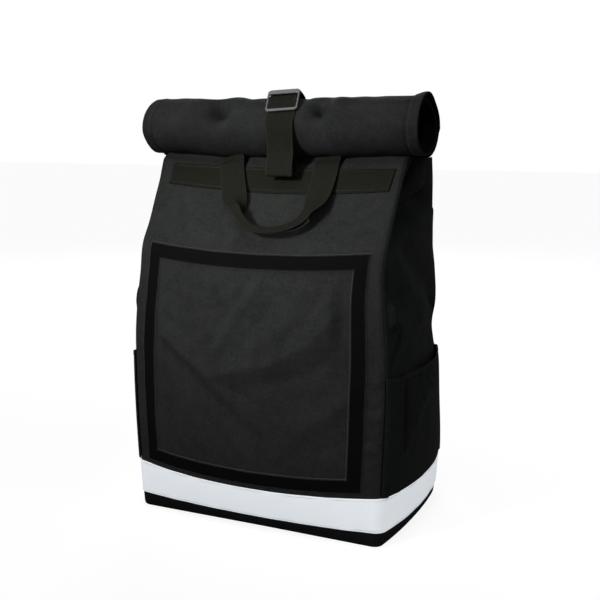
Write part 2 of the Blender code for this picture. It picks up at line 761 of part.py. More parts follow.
def build_slider(material):
    """The three-bar slider, lying on the roll's front shoulder."""
    half = SLIDER_LENGTH / 2
    bars = ((-half, -half + SLIDER_BAR),
            (-SLIDER_MIDDLE_BAR / 2, SLIDER_MIDDLE_BAR / 2),
            (half - SLIDER_REAR_BAR, half))
    thing = ladder_plate("slider_buckle", SLIDER_WIDTH, SLIDER_LENGTH,
                         SLIDER_THICKNESS, bars, 0.0032, material)
    thing.location = slider_frame()[0]
    thing.rotation_euler = (math.radians(SLIDER_TILT), 0.0, math.radians(SLIDER_TURN))
    return thing


def build_pocket(side, material):
    """A side pocket: a panel along one side, standing off at its top.

    Its sides and lower edge lie on the body, and a pleat divides the top.
    """
    sign = 1 if side == "right" else -1
    columns = 15
    depth = np.linspace(POCKET_MARGIN / BODY_DEPTH, 1 - POCKET_MARGIN / BODY_DEPTH, columns)
    pleat = 0.27
    low = TRAY_HEIGHT + TAPE_WIDTH + SEAM_GAP
    grid = []
    for share in (0.0, 0.2, 0.4, 0.6, 0.8, 1.0):
        top = POCKET_TOP - POCKET_DIP * np.sin(np.pi * depth)
        height = low + share * (top - low)
        halves = np.where(depth < pleat,
                          np.sin(np.pi * np.clip((depth - depth[0]) / (pleat - depth[0]), 0, 1)) * 0.5,
                          np.sin(np.pi * np.clip((depth - pleat) / (depth[-1] - pleat), 0, 1)))
        lift = LAY_GAP + POCKET_STANDOFF * share ** 1.5 * halves
        t = depth if side == "right" else 1 - depth
        grid.append(body_point(side, t, height, lift))
    grid = np.array(grid)
    if sign < 0:
        grid = grid[:, ::-1]
    return sheet("side_pocket_" + side, grid, CLOTH * 0.75, 1.0, material)


def back_spot(x, height, lift):
    """Point over the back panel."""
    return body_point("back", 0.5 - np.asarray(x) / BODY_WIDTH, height, lift)


def shoulder_rows(sign):
    """Middle line of a padded strap and its width at each station."""
    rows = (
        # share of the way down, stand-off share, width share
        (0.00, 0.00, 0.70),
        (0.08, 0.30, 0.86),
        (0.25, 0.78, 1.00),
        (0.50, 1.00, 1.00),
        (0.75, 0.86, 0.92),
        (1.00, 0.52, 0.62),
    )
    path = smooth_path(rows, 15)
    down, stand = path[:, 0], path[:, 1]
    height = SHOULDER_TOP + down * (SHOULDER_BOTTOM - SHOULDER_TOP)
    swing = np.sin(np.clip(down, 0.0, 1.0) * math.pi / 2)
    x = SHOULDER_TOP_X + swing * (SHOULDER_BOTTOM_X - SHOULDER_TOP_X)
    pad = 2 * LAY_GAP + SHOULDER_PAD / 2
    top = back_spot(sign * SHOULDER_TOP_X, SHOULDER_TOP, pad + LAY_GAP)
    away = BODY_DEPTH / 2 + BACK_BELLY + pad + stand * SHOULDER_STANDOFF
    settle = np.clip(down / 0.25, 0.0, 1.0)
    y = top[1] + (away - top[1]) * settle * (2 - settle)
    return np.stack([sign * x, y, height], axis=1), path[:, 2] * SHOULDER_WIDTH


def build_shoulder_strap(side, material):
    """A padded strap: fixed high on the back, bowed out, ending low down."""
    sign = 1 if side == "right" else -1
    centre, width = shoulder_rows(sign)
    across = np.tile([1.0, 0.0, 0.0], (len(centre), 1))
    thing = sweep("shoulder_strap_" + side, centre, across, width,
                  np.full(len(centre), SHOULDER_PAD), material)
    bevel = thing.modifiers.new("round", "BEVEL")
    bevel.width = SHOULDER_PAD * 0.3
    bevel.segments = 1
    bevel.limit_method = "ANGLE"
    bevel.angle_limit = math.radians(50)
    return thing


def strap_end(sign):
    """The padded strap's lower end and the direction that it points in."""
    centre = shoulder_rows(sign)[0]
    run = centre[-1] - centre[-2]
    run[0] = 0.0
    return centre[-1], run / np.linalg.norm(run)


def build_adjuster(side, material):
    """A ladder buckle below the padded strap."""
    sign = 1 if side == "right" else -1
    half = ADJUSTER_LENGTH / 2
    bars = ((-half, -half + ADJUSTER_BAR),
            (-ADJUSTER_BAR / 2, ADJUSTER_BAR / 2),
            (half - ADJUSTER_BAR, half))
    thing = ladder_plate("strap_adjuster_" + side, ADJUSTER_WIDTH, ADJUSTER_LENGTH,
                         ADJUSTER_THICKNESS, bars, 0.0035, material)
    end, run = strap_end(sign)
    thing.location = end + run * (half + 2 * SEAM_GAP)
    thing.rotation_euler = (math.atan2(run[2], run[1]), 0.0, 0.0)
    return thing


def build_lower_webbing(side, material):
    """The webbing from the ladder buckle to the back panel, near the base."""
    sign = 1 if side == "right" else -1
    end, run = strap_end(sign)
    start = end + run * (ADJUSTER_LENGTH + 4 * SEAM_GAP)
    lift = 2 * LAY_GAP + WEBBING / 2
    heights = (LOWER_WEBBING_END, LOWER_WEBBING_END - 0.016)
    feet = [back_spot(end[0], h, lift) for h in heights]
    path = smooth_path([start, start + run * 0.012] + feet, 9)
    t = 0.5 - end[0] / BODY_WIDTH
    side_way = body_place("back", t - 0.02, heights[0]) - body_place("back", t + 0.02, heights[0])
    across = np.linspace([1.0, 0.0, 0.0], side_way / np.linalg.norm(side_way), len(path))
    return sweep("strap_webbing_" + side, path, across,
                 np.full(len(path), LOWER_WEBBING_WIDTH), np.full(len(path), WEBBING), material)


def main():
    """Build every piece."""
    clear_scene()
    cloth = make_material("black_cloth", BLACK_CLOTH, 0.75)
    base = make_material("base_cloth", BLACK_CLOTH, 0.6)
    pile = make_material("hook_and_loop", BLACK_PILE, 0.95)
    webbing = make_material("webbing", WEBBING_BLACK, 0.7)
    silver = make_material("reflective_tape", SILVER, 0.35)
    metal = make_material("slider_metal", GUNMETAL, 0.35, 0.9)
    plastic = make_material("black_plastic", BLACK_CLOTH, 0.4)
    build_tray(base)
    build_body(cloth)
    build_roll(cloth)
    build_reflective_band(silver)
    build_hook_frame(pile)
    build_webbing_band(webbing)
    build_handle(webbing)
    build_strap_front(webbing)
    build_strap_back(webbing)
    build_slider(metal)
    for side in ("right", "left"):
        build_pocket(side, cloth)
        build_shoulder_strap(side, cloth)
        build_lower_webbing(side, webbing)
        build_adjuster(side, plastic)


main()
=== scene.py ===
# %% [markdown]
# The imported bag comes first. Its solids are the fixed frame: every piece made
# below sits where one of them is, and hides it.

import json
import math

import bmesh
import bpy
import numpy as np
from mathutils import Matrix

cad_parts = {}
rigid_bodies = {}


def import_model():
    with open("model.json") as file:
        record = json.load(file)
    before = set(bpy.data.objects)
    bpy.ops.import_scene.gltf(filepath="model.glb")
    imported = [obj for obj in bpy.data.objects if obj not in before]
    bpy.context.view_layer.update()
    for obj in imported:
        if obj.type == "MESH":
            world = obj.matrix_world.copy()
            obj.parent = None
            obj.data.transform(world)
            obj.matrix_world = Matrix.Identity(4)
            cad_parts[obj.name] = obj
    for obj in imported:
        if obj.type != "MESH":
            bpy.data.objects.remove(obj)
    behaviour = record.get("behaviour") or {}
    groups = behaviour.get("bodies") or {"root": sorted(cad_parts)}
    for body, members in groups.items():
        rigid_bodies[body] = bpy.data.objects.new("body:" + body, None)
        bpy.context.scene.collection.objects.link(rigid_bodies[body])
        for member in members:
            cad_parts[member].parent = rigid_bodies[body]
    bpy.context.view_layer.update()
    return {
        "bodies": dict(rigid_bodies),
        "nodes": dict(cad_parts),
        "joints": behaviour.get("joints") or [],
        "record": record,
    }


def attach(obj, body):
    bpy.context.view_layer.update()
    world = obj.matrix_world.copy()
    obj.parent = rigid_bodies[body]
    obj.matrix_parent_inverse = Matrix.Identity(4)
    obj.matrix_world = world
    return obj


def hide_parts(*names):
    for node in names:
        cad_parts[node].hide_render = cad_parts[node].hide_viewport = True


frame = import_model()
print("solids:", sorted(frame["nodes"]))

# %% [markdown]
# All lengths are metres. The sizes below are the bag's own: they repeat the
# part's named sizes, so that the fine cloth lies on the solids that it dresses.

# %% Sizes of the bag
BODY_WIDTH = 0.3825
BODY_DEPTH = 0.2425
MOUTH_HEIGHT = 0.520
CORNER_RADIUS = 0.010
CLOTH = 0.0018
FRONT_BELLY = 0.032
SIDE_BELLY = 0.018
BACK_BELLY = 0.008
FRONT_SAG, MOUTH_SAG = 0.010, 0.007
GUSSET_DEPTH = 0.030
GUSSET_WIDTH, GUSSET_START, GUSSET_RUN = 0.16, 0.06, 0.40
GUSSET_SHARE, MOUTH_SHARE = 0.78, 0.88
TRAY_HEIGHT = 0.021
TAPE_WIDTH = 0.050
ROLL_LENGTH = 0.426
ROLL_SHEET = 0.0030
ROLL_RADIUS = 0.0405
ROLL_STRETCH = 1.15
ROLL_PITCH = 0.009
ROLL_TURNS = 2.5
ROLL_OVERHANG = 0.0575
WEBBING_WIDTH = 0.040
WEBBING = 0.0015

SECTION_COLUMNS = (
    "height", "front", "back", "front_half", "back_half",
    "front_belly", "side_belly", "back_belly", "sag", "gusset")
SECTIONS = np.array((
    (0.000, 0.000, 1.000, 1.000, 1.000, 0.00, 0.40, 0.0, 0.00, 0.00),
    (0.040, 0.000, 1.003, 1.004, 1.006, 0.34, 0.70, 0.3, 0.12, 0.00),
    (0.137, 0.000, 1.006, 1.015, 1.018, 0.86, 1.00, 0.8, 0.55, 0.00),
    (0.300, 0.000, 1.000, 1.035, 1.006, 1.00, 0.95, 1.0, 0.80, 0.00),
    (0.440, 0.000, 0.985, 1.042, 0.990, 0.92, 0.75, 1.0, 0.90, 0.00),
    (0.510, 0.000, 0.960, 1.040, 0.965, 0.86, 0.60, 0.9, 0.95, 0.00),
    (0.590, 0.002, 0.985, 1.022, 0.985, 0.78, 0.55, 0.9, 1.00, 0.00),
    (0.680, 0.018, 0.975, 1.000, 0.980, 0.68, 0.40, 0.8, 1.00, 0.05),
    (0.770, 0.055, 0.925, 0.997, 0.975, 0.56, 0.25, 0.6, 1.00, 0.20),
    (0.820, 0.122, 0.895, 0.997, 0.985, 0.46, 0.15, 0.4, 0.95, 0.40),
    (0.880, 0.193, 0.850, 0.998, 1.000, 0.34, 0.05, 0.3, 0.85, 0.65),
    (0.940, 0.268, 0.770, 1.000, 1.030, 0.24, 0.00, 0.2, 0.75, 0.85),
    (1.000, 0.335, 0.660, 1.008, 1.065, 0.15, 0.00, 0.0, 0.70, 1.00),
))
print("mouth at", MOUTH_HEIGHT, "m, sections:", len(SECTIONS))

# %% [markdown]
# The photograph is taken from the bag's right front, a little above it. Its
# camera was fitted to the corners of the base, so the same lens and place
# give the same framing. The floor and the air are plain white, as in a
# studio. A soft-edged spot at the front left makes the front panel lighter
# than the right side, and weaker lamps fill the side and the back; the sides'
# darker cloth adds painted shade to that. White paper that the camera sees
# glows, but it lights the bag only a little, so that black cloth stays black.

# %% Camera, floor and light
scene = bpy.context.scene
scene.view_settings.view_transform = "Standard"
scene.view_settings.look = "None"

camera = bpy.data.objects.new("camera", bpy.data.cameras.new("camera"))
scene.collection.objects.link(camera)
camera.data.lens = 58.86
camera.data.sensor_width = 36.0
camera.location = (0.628, -1.298, 0.5595)
camera.rotation_euler = (math.radians(90 - 9.877), 0.0, math.radians(25.27))
scene.camera = camera

ROOM_LIGHT = 0.13
WINDOW_POWER, WINDOW_SPREAD, WINDOW_TILT, WINDOW_TURN = 0.7, 40, 16, -24
KEY_POWER, KEY_CONE, KEY_SOFTNESS = 136.0, 25.0, 0.22
SIDE_POWER, SIDE_SIZE = 5.3, 0.8
BACK_POWER, BACK_SIZE = 14.0, 1.2
FLOOR_HALF = 12.0
FLOOR_GREY = 0.28
FLOOR_GLOW_UNSEEN, FLOOR_GLOW_SEEN = 0.02, 0.86


def seen_strength(tree, unseen, seen):
    """One strength for what the camera sees directly, another for its light."""
    ray = tree.nodes.new("ShaderNodeLightPath").outputs["Is Camera Ray"]
    choice = tree.nodes.new("ShaderNodeMapRange")
    choice.inputs["To Min"].default_value = unseen
    choice.inputs["To Max"].default_value = seen
    tree.links.new(ray, choice.inputs["Value"])
    return choice.outputs[0]


world = bpy.data.worlds.new("white_room")
scene.world = world
world.use_nodes = True
background = world.node_tree.nodes["Background"]
background.inputs["Color"].default_value = (1.0, 1.0, 1.0, 1.0)
room = seen_strength(world.node_tree, ROOM_LIGHT, 1.0)
world.node_tree.links.new(room, background.inputs["Strength"])

floor_mesh = bpy.data.meshes.new("floor")
corners = FLOOR_HALF * np.array([(-1, -1, 0), (1, -1, 0), (1, 1, 0), (-1, 1, 0)])
floor_mesh.from_pydata(corners.tolist(), [], [(0, 1, 2, 3)])
floor = bpy.data.objects.new("floor", floor_mesh)
scene.collection.objects.link(floor)
paper = bpy.data.materials.new("lit_paper")
paper.use_nodes = True
paper_shader = paper.node_tree.nodes["Principled BSDF"]
paper_shader.inputs["Base Color"].default_value = (FLOOR_GREY, FLOOR_GREY, FLOOR_GREY, 1)
paper_shader.inputs["Roughness"].default_value = 0.9
paper_shader.inputs["Specular IOR Level"].default_value = 0.1
paper_shader.inputs["Emission Color"].default_value = (1.0, 1.0, 1.0, 1)
glow = seen_strength(paper.node_tree, FLOOR_GLOW_UNSEEN, FLOOR_GLOW_SEEN)
paper.node_tree.links.new(glow, paper_shader.inputs["Emission Strength"])
floor_mesh.materials.append(paper)

window = bpy.data.objects.new("window", bpy.data.lights.new("window", "SUN"))
window.data.energy = WINDOW_POWER
window.data.angle = math.radians(WINDOW_SPREAD)
window.rotation_euler = (math.radians(WINDOW_TILT), 0.0, math.radians(WINDOW_TURN))
scene.collection.objects.link(window)


def aimed_lamp(name, kind, place, target, power, **settings):
    """A lamp of a kind that faces its target."""
    lamp = bpy.data.objects.new(name, bpy.data.lights.new(name, kind))
    lamp.data.energy = power
    for key, value in settings.items():
        setattr(lamp.data, key, value)
    lamp.location = place
    way = np.array(target) - np.array(place)
    flat = math.hypot(way[0], way[1])
    lamp.rotation_euler = (math.atan2(flat, -way[2]), 0.0, math.atan2(-way[0], way[1]))
    scene.collection.objects.link(lamp)


aimed_lamp("key_lamp", "SPOT", (-0.78, -1.60, 1.20), (0.0, -0.10, 0.43), KEY_POWER,
           spot_size=math.radians(KEY_CONE), spot_blend=1.0, shadow_soft_size=KEY_SOFTNESS)
aimed_lamp("side_lamp", "AREA", (1.7, -0.3, 1.7), (0.15, 0.0, 0.35), SIDE_POWER, size=SIDE_SIZE)
aimed_lamp("back_lamp", "AREA", (-1.2, 2.4, 1.6), (0.0, 0.1, 0.3), BACK_POWER, size=BACK_SIZE)
print("camera lens", camera.data.lens, "mm")

# %% [markdown]
# The body is a loop of four bulging sides at each height. A table gives the
# loop's corners and bulges, and a smooth curve through the rows fills in the
# heights between. Folds are added afterwards, along the surface's normal.

# %% The body's surface


def cubic_between(rows, slopes, i, step, t):
    """Cubic Hermite curve between row i and the next, t from 0 to 1.

    The rows' values and slopes are weighted by (1+2t)(1-t)^2, t^2(3-2t),
    t(1-t)^2 and -t^2(1-t).
    """
    return (rows[i] * (1 + 2 * t) * (1 - t) ** 2
            + rows[i + 1] * t * t * (3 - 2 * t)
            + slopes[i] * step * t * (1 - t) ** 2
            - slopes[i + 1] * step * t * t * (1 - t))


def smooth_table(share, column):
    """Read a column of the sections at a height share, along a cubic curve."""
    xs = SECTIONS[:, 0]
    ys = SECTIONS[:, SECTION_COLUMNS.index(column)]
    share = np.clip(np.asarray(share, float), 0.0, 1.0)
    i = np.clip(np.searchsorted(xs, share, side="right") - 1, 0, len(xs) - 2)
    step = xs[i + 1] - xs[i]
    return cubic_between(ys, np.gradient(ys, xs), i, step, (share - xs[i]) / step)


def smooth_ramp(distance, reach):
    """0 before distance 0, 1 past reach, and t^2(3-2t) between."""
    share = np.clip(distance / reach, 0.0, 1.0)
    return share * share * (3 - 2 * share)


def mouth_sag(x):
    """How far the mouth hangs down at a place along X: a parabola."""
    share = np.clip(np.abs(x) / (BODY_WIDTH / 2), 0.0, 1.0)
    return MOUTH_SAG * (1 - share ** 2)


def unit(vectors):
    """Vectors divided by their lengths."""
    return vectors / np.maximum(np.linalg.norm(vectors, axis=-1, keepdims=True), 1e-12)


def square_to(vectors, direction):
    """Unit vectors of the parts of vectors at right angles to a direction."""
    return unit(vectors - direction * np.sum(vectors * direction, axis=-1, keepdims=True))


def run_length(points):
    """Metres along a line of points, by running sums."""
    steps = np.linalg.norm(np.diff(points, axis=0), axis=1)
    return np.concatenate([[0.0], np.cumsum(steps)])


def hump(t):
    """A pillow's outline: 1 - |2t-1|^2.2, so 0 at both ends and 1 between."""
    return 1.0 - np.abs(2.0 * t - 1.0) ** 2.2


def body_place(side, t, height):
    """Point on a side of the body, t along it, at a height up the cloth.

    A side is the straight line between its corners plus its bulge, and the
    cloth's middle hangs down by its sag. A gusset is a bell-shaped tuck of a
    side under the roll, whose middle moves back as it rises.
    """
    t, height = np.broadcast_arrays(np.asarray(t, float), np.asarray(height, float))
    share = height / MOUTH_HEIGHT
    front_y = (smooth_table(share, "front") - 0.5) * BODY_DEPTH
    back_y = (smooth_table(share, "back") - 0.5) * BODY_DEPTH
    front_x = smooth_table(share, "front_half") * BODY_WIDTH / 2
    back_x = smooth_table(share, "back_half") * BODY_WIDTH / 2
    sag = smooth_table(share, "sag") * FRONT_SAG
    mouth = np.clip((share - MOUTH_SHARE) / (1 - MOUTH_SHARE), 0.0, 1.0) ** 2
    if side == "front":
        x = front_x * (2 * t - 1)
        y = front_y - FRONT_BELLY * smooth_table(share, "front_belly") * hump(t)
        hold = 1.0
    elif side == "back":
        x = back_x * (1 - 2 * t)
        y = back_y + BACK_BELLY * smooth_table(share, "back_belly") * hump(t)
        hold = mouth
    else:
        depth = t if side == "right" else 1 - t
        upper = np.clip((share - GUSSET_SHARE) / (1 - GUSSET_SHARE), 0.0, 1.0)
        crease = GUSSET_START + GUSSET_RUN * upper
        tuck = np.exp(-((depth - crease) / GUSSET_WIDTH) ** 2)
        tuck = tuck * hump(depth) * smooth_table(share, "gusset")
        out = front_x + (back_x - front_x) * depth
        out = out + SIDE_BELLY * smooth_table(share, "side_belly") * hump(depth)
        out = out - GUSSET_DEPTH * tuck
        x = out if side == "right" else -out
        y = front_y + (back_y - front_y) * depth
        hold = mouth
    middle = 1 - np.clip(np.abs(x) / (BODY_WIDTH / 2), 0.0, 1.0) ** 2
    return np.stack([x, y, height - sag * hold * middle], axis=-1)


def body_point(side, t, height, lift):
    """Point over the smooth body, lifted along its outward normal.

    The normal is the cross product of a small step along the side and a
    small step up it.
    """
    t, height, lift = np.broadcast_arrays(
        np.asarray(t, float), np.asarray(height, float), np.asarray(lift, float))
    nudge = 0.004
    along = body_place(side, t + nudge, height) - body_place(side, t - nudge, height)
    below = np.maximum(height - 0.002, 0.0)
    up = body_place(side, t, height) - body_place(side, t, below)
    normal = unit(np.cross(along, up))
    return body_place(side, t, height) + normal * lift[..., None]


print("front panel's middle:", body_place("front", 0.5, 0.3).round(4))

# %% [markdown]
# Cloth creases run along lines. A fold is therefore a line on the panel and a
# height that depends on the distance from it: a ridge, a valley, or a step
# where the cloth on one side lies higher than on the other.

# %% Folds of the front panel and the sides


def line_reach(px, py, line):
    """Signed distance from a broken line, and the share of the way along it.

    Each segment gives the distance to its nearest point; the least one wins.
    The sign is that of the cross product: positive on the line's left.
    """
    line = np.asarray(line, float)
    best = np.full(np.broadcast(px, py).shape, 1e9)
    signed = best.copy()
    along = np.zeros(best.shape)
    lengths = np.linalg.norm(np.diff(line, axis=0), axis=1)
    total = lengths.sum()
    done = 0.0
    for (ax, ay), (bx, by), length in zip(line[:-1], line[1:], lengths):
        ux, uy = (bx - ax) / length, (by - ay) / length
        s = np.clip((px - ax) * ux + (py - ay) * uy, 0.0, length)
        dx, dy = px - ax - s * ux, py - ay - s * uy
        d = np.hypot(dx, dy)
        near = d < best
        side = np.where(ux * (py - ay) - uy * (px - ax) >= 0, 1.0, -1.0)
        best = np.where(near, d, best)
        signed = np.where(near, d * side, signed)
        along = np.where(near, (done + s) / total, along)
        done += length
    return signed, along


def fold_height(px, py, width, height, line, step=False):
    """Height of one fold, which fades out at the line's ends.

    A ridge or valley is a bell of the distance. A step is the tanh of the
    distance, which dies away far from the line.
    """
    d, along = line_reach(px, py, line)
    fade = 0.15 + 0.85 * smooth_ramp(np.minimum(along, 1 - along), 0.18)
    if step:
        return height * fade * np.tanh(d / width) * np.exp(-(d / (7 * width)) ** 2)
    return height * fade * np.exp(-(d / width) ** 2)


CREASE_HEIGHT = 0.0125
CREASE_REACH_UP, CREASE_REACH_DOWN = 0.055, 0.032
CREASE_LINE = np.array((
    # x, height, share of the crease's height
    (-0.148, 0.280, 0.90), (-0.116, 0.271, 1.00), (-0.085, 0.249, 1.00),
    (-0.054, 0.227, 0.95), (-0.002, 0.244, 0.95), (0.040, 0.254, 1.00),
    (0.093, 0.283, 1.00), (0.148, 0.340, 0.90),
))
CREASE_TAIL = ((-0.054, 0.227), (0.008, 0.173))
CREASE_ROUND = 0.003
HOOK_INSIDE, HOOK_MIDDLE = 0.147, -0.0036
HOOK_INSIDE_LOW, HOOK_INSIDE_HIGH = 0.0995, 0.3805


def front_crease(x, height):
    """The front's V crease: tents over a broken line and over its tail.

    A tent is exp(-distance/reach), with a rounded top. It is steeper below
    its line than above. It fades out at the inner edges of the frame of
    tape, which holds the cloth flat.
    """
    share = np.interp(x, CREASE_LINE[:, 0], CREASE_LINE[:, 2])
    over = height - np.interp(x, CREASE_LINE[:, 0], CREASE_LINE[:, 1])
    away = line_reach(x, height, CREASE_LINE[:, :2])[0]
    reach = CREASE_REACH_UP - CREASE_REACH_DOWN
    reach = CREASE_REACH_DOWN + reach * smooth_ramp(over + 0.004, 0.008)
    crest = share * np.exp(-np.hypot(away, CREASE_ROUND) / reach)
    away, along = line_reach(x, height, CREASE_TAIL)
    tail = (0.92 - 0.45 * along) * np.exp(-np.hypot(away, CREASE_ROUND) / CREASE_REACH_DOWN)
    crest = np.maximum(crest, tail)
    for edge in (HOOK_INSIDE - np.abs(x - HOOK_MIDDLE), height - HOOK_INSIDE_LOW,
                 HOOK_INSIDE_HIGH - height):
        crest = crest * smooth_ramp(edge - 0.003, 0.022)
    return CREASE_HEIGHT * crest


FRONT_FOLDS = (
    # width, height, line of (x, height up the cloth)
    (0.0125, -0.0042, ((-0.146, 0.268), (-0.116, 0.253), (-0.060, 0.211), (0.008, 0.160))),
    (0.0060, 0.0010, ((-0.100, 0.262), (-0.054, 0.236), (-0.020, 0.205))),
    (0.0100, -0.0012, ((0.020, 0.222), (0.095, 0.246), (0.145, 0.290))),
    (0.0140, 0.0014, ((0.070, 0.150), (0.097, 0.179), (0.150, 0.215))),
    (0.0130, 0.0012, ((0.110, 0.180), (0.143, 0.209), (0.150, 0.240))),
    (0.0070, -0.0017, ((-0.095, 0.385), (-0.084, 0.362), (-0.071, 0.341))),
    (0.0080, 0.0016, ((-0.120, 0.378), (-0.104, 0.352), (-0.086, 0.325))),
    (0.0070, 0.0014, ((-0.062, 0.380), (-0.054, 0.352), (-0.036, 0.326))),
    (0.0060, -0.0015, ((-0.052, 0.346), (-0.040, 0.332), (-0.028, 0.324))),
    (0.0090, 0.0016, ((-0.060, 0.240), (-0.020, 0.300), (0.030, 0.380))),
    (0.0080, -0.0013, ((-0.052, 0.250), (-0.040, 0.300), (-0.026, 0.320), (0.006, 0.372))),
    (0.0090, -0.0013, ((-0.020, 0.255), (0.016, 0.300), (0.062, 0.372))),
    (0.0100, 0.0014, ((0.010, 0.262), (0.060, 0.312), (0.100, 0.375))),
    (0.0090, -0.0011, ((0.050, 0.275), (0.092, 0.318), (0.128, 0.372))),
    (0.0080, -0.0012, ((-0.140, 0.300), (-0.110, 0.300), (-0.070, 0.270))),
    (0.0160, -0.0022, ((-0.175, 0.462), (-0.145, 0.445), (-0.105, 0.432))),
    (0.0150, 0.0016, ((-0.175, 0.430), (-0.120, 0.425), (-0.085, 0.455))),
    (0.0120, 0.0014, ((-0.030, 0.470), (-0.040, 0.440), (-0.020, 0.412))),
    (0.0120, -0.0016, ((0.090, 0.470), (0.106, 0.433), (0.080, 0.415))),
    (0.0120, 0.0016, ((0.120, 0.470), (0.140, 0.440), (0.150, 0.415))),
    (0.0040, -0.0012, ((0.166, 0.206), (0.173, 0.196), (0.186, 0.192))),
    (0.0040, 0.0010, ((0.166, 0.190), (0.174, 0.182), (0.187, 0.180))),
    (0.0040, -0.0012, ((0.168, 0.160), (0.174, 0.151), (0.187, 0.149))),
    (0.0040, 0.0010, ((0.168, 0.145), (0.175, 0.137), (0.187, 0.136))),
    (0.0040, 0.0010, ((0.166, 0.240), (0.174, 0.230), (0.186, 0.228))),
)
SIDE_FOLDS = (
    # width, height, line of (depth from the front, height up the cloth)
    (0.0100, -0.0075, ((0.000, 0.405), (0.022, 0.436), (0.060, 0.452), (0.118, 0.458),
                        (0.205, 0.464))),
    (0.0080, -0.0060, ((0.055, 0.440), (0.085, 0.478), (0.125, 0.512), (0.140, 0.522))),
    (0.0120, 0.0030, ((0.085, 0.500), (0.150, 0.490), (0.220, 0.494))),
    (0.0200, -0.0045, ((0.030, 0.415), (0.120, 0.369), (0.192, 0.330), (0.225, 0.300))),
    (0.0220, 0.0030, ((0.020, 0.380), (0.090, 0.340), (0.150, 0.290))),
    (0.0090, 0.0062, ((0.008, 0.335), (0.014, 0.312), (0.034, 0.300))),
    (0.0045, -0.0042, ((0.002, 0.244), (0.018, 0.262), (0.036, 0.279), (0.044, 0.296))),
    (0.0070, -0.0034, ((0.205, 0.318), (0.222, 0.300), (0.240, 0.288))),
)
SIDE_STEP = (0.0090, -0.0045, ((0.006, 0.395), (0.050, 0.420), (0.120, 0.440), (0.225, 0.446)))
PANEL_FOLDS = {
    # folds, their strength, the panel's run, length and height of the waves, seed
    "front": (FRONT_FOLDS, 1.3, BODY_WIDTH, 0.06, 0.0004, 3),
    "right": (SIDE_FOLDS, 1.7, BODY_DEPTH, 0.05, 0.0006, 5),
    "back": ((), 0.0, BODY_DEPTH, 0.08, 0.0004, 11),
    "left": (SIDE_FOLDS, 0.35, BODY_DEPTH, 0.05, 0.0006, 7),
}
SEAM_RAMP, LOW_RAMP, HIGH_RAMP = 0.010, 0.03, 0.02


def soft_waves(px, py, size, height, seed):
    """Low irregular waves of slack cloth: a sum of eight plane waves.

    The waves have lengths near size, and seeded directions and phases.
    """
    dice = np.random.default_rng(seed)
    total = np.zeros(np.broadcast(px, py).shape)
    for _ in range(8):
        way = dice.uniform(0, math.pi)
        length = size * dice.uniform(0.7, 1.8)
        phase = dice.uniform(0, 2 * math.pi)
        run = px * math.cos(way) + py * math.sin(way)
        total = total + np.sin(2 * math.pi * run / length + phase) * length / size
    return height * total / 8 ** 0.5


def panel_relief(side, t, height):
    """Height of the cloth's folds over the smooth body, in metres.

    The sum of the folds and the waves, brought down to nothing at the sewn
    edges by a smooth ramp.
    """
    t, height = np.broadcast_arrays(np.asarray(t, float), np.asarray(height, float))
    folds, strength, run, wave_length, wave_height, seed = PANEL_FOLDS[side]
    from_front = {"front": t - 0.5, "left": 1 - t}.get(side, t)
    across = run * from_front
    total = soft_waves(across, height, wave_length, wave_height, seed)
    if side == "front":
        total = total + front_crease(across, height)
    for fold in folds:
        total = total + strength * fold_height(across, height, *fold)
    if folds is SIDE_FOLDS:
        total = total + strength * fold_height(across, height, *SIDE_STEP, step=True)
    seam = smooth_ramp(t * (1 - t) * run, SEAM_RAMP)
    low = np.clip((height - TRAY_HEIGHT - TAPE_WIDTH) / LOW_RAMP, 0.0, 1.0)
    high = np.clip((MOUTH_HEIGHT - height) / HIGH_RAMP, 0.0, 1.0)
    return total * seam * low * high


print("deepest front fold:",
      round(float(np.ptp(panel_relief("front", np.linspace(0, 1, 200)[None, :],
                                      np.linspace(0.07, 0.5, 200)[:, None]))) * 1000, 2), "mm")

# %% [markdown]
# A sheet of cloth is a grid of points. Its UV map holds metres along the cloth
# both ways, so that one weave has the same scale on every piece. The faces are
# quads, and Solidify gives the sheet its thickness afterwards.

# %% From a grid of points to a piece


def cloth_uv(grid):
    """Metres along the columns and the rows of a grid, by running sums."""
    across = np.linalg.norm(np.diff(grid, axis=1), axis=2)
    up = np.linalg.norm(np.diff(grid, axis=0), axis=2)
    u = np.concatenate([np.zeros((grid.shape[0], 1)), np.cumsum(across, axis=1)], axis=1)
    v = np.concatenate([np.zeros((1, grid.shape[1])), np.cumsum(up, axis=0)], axis=0)
    u = u - u.mean(axis=1, keepdims=True)
    return np.stack([u, v], axis=-1)


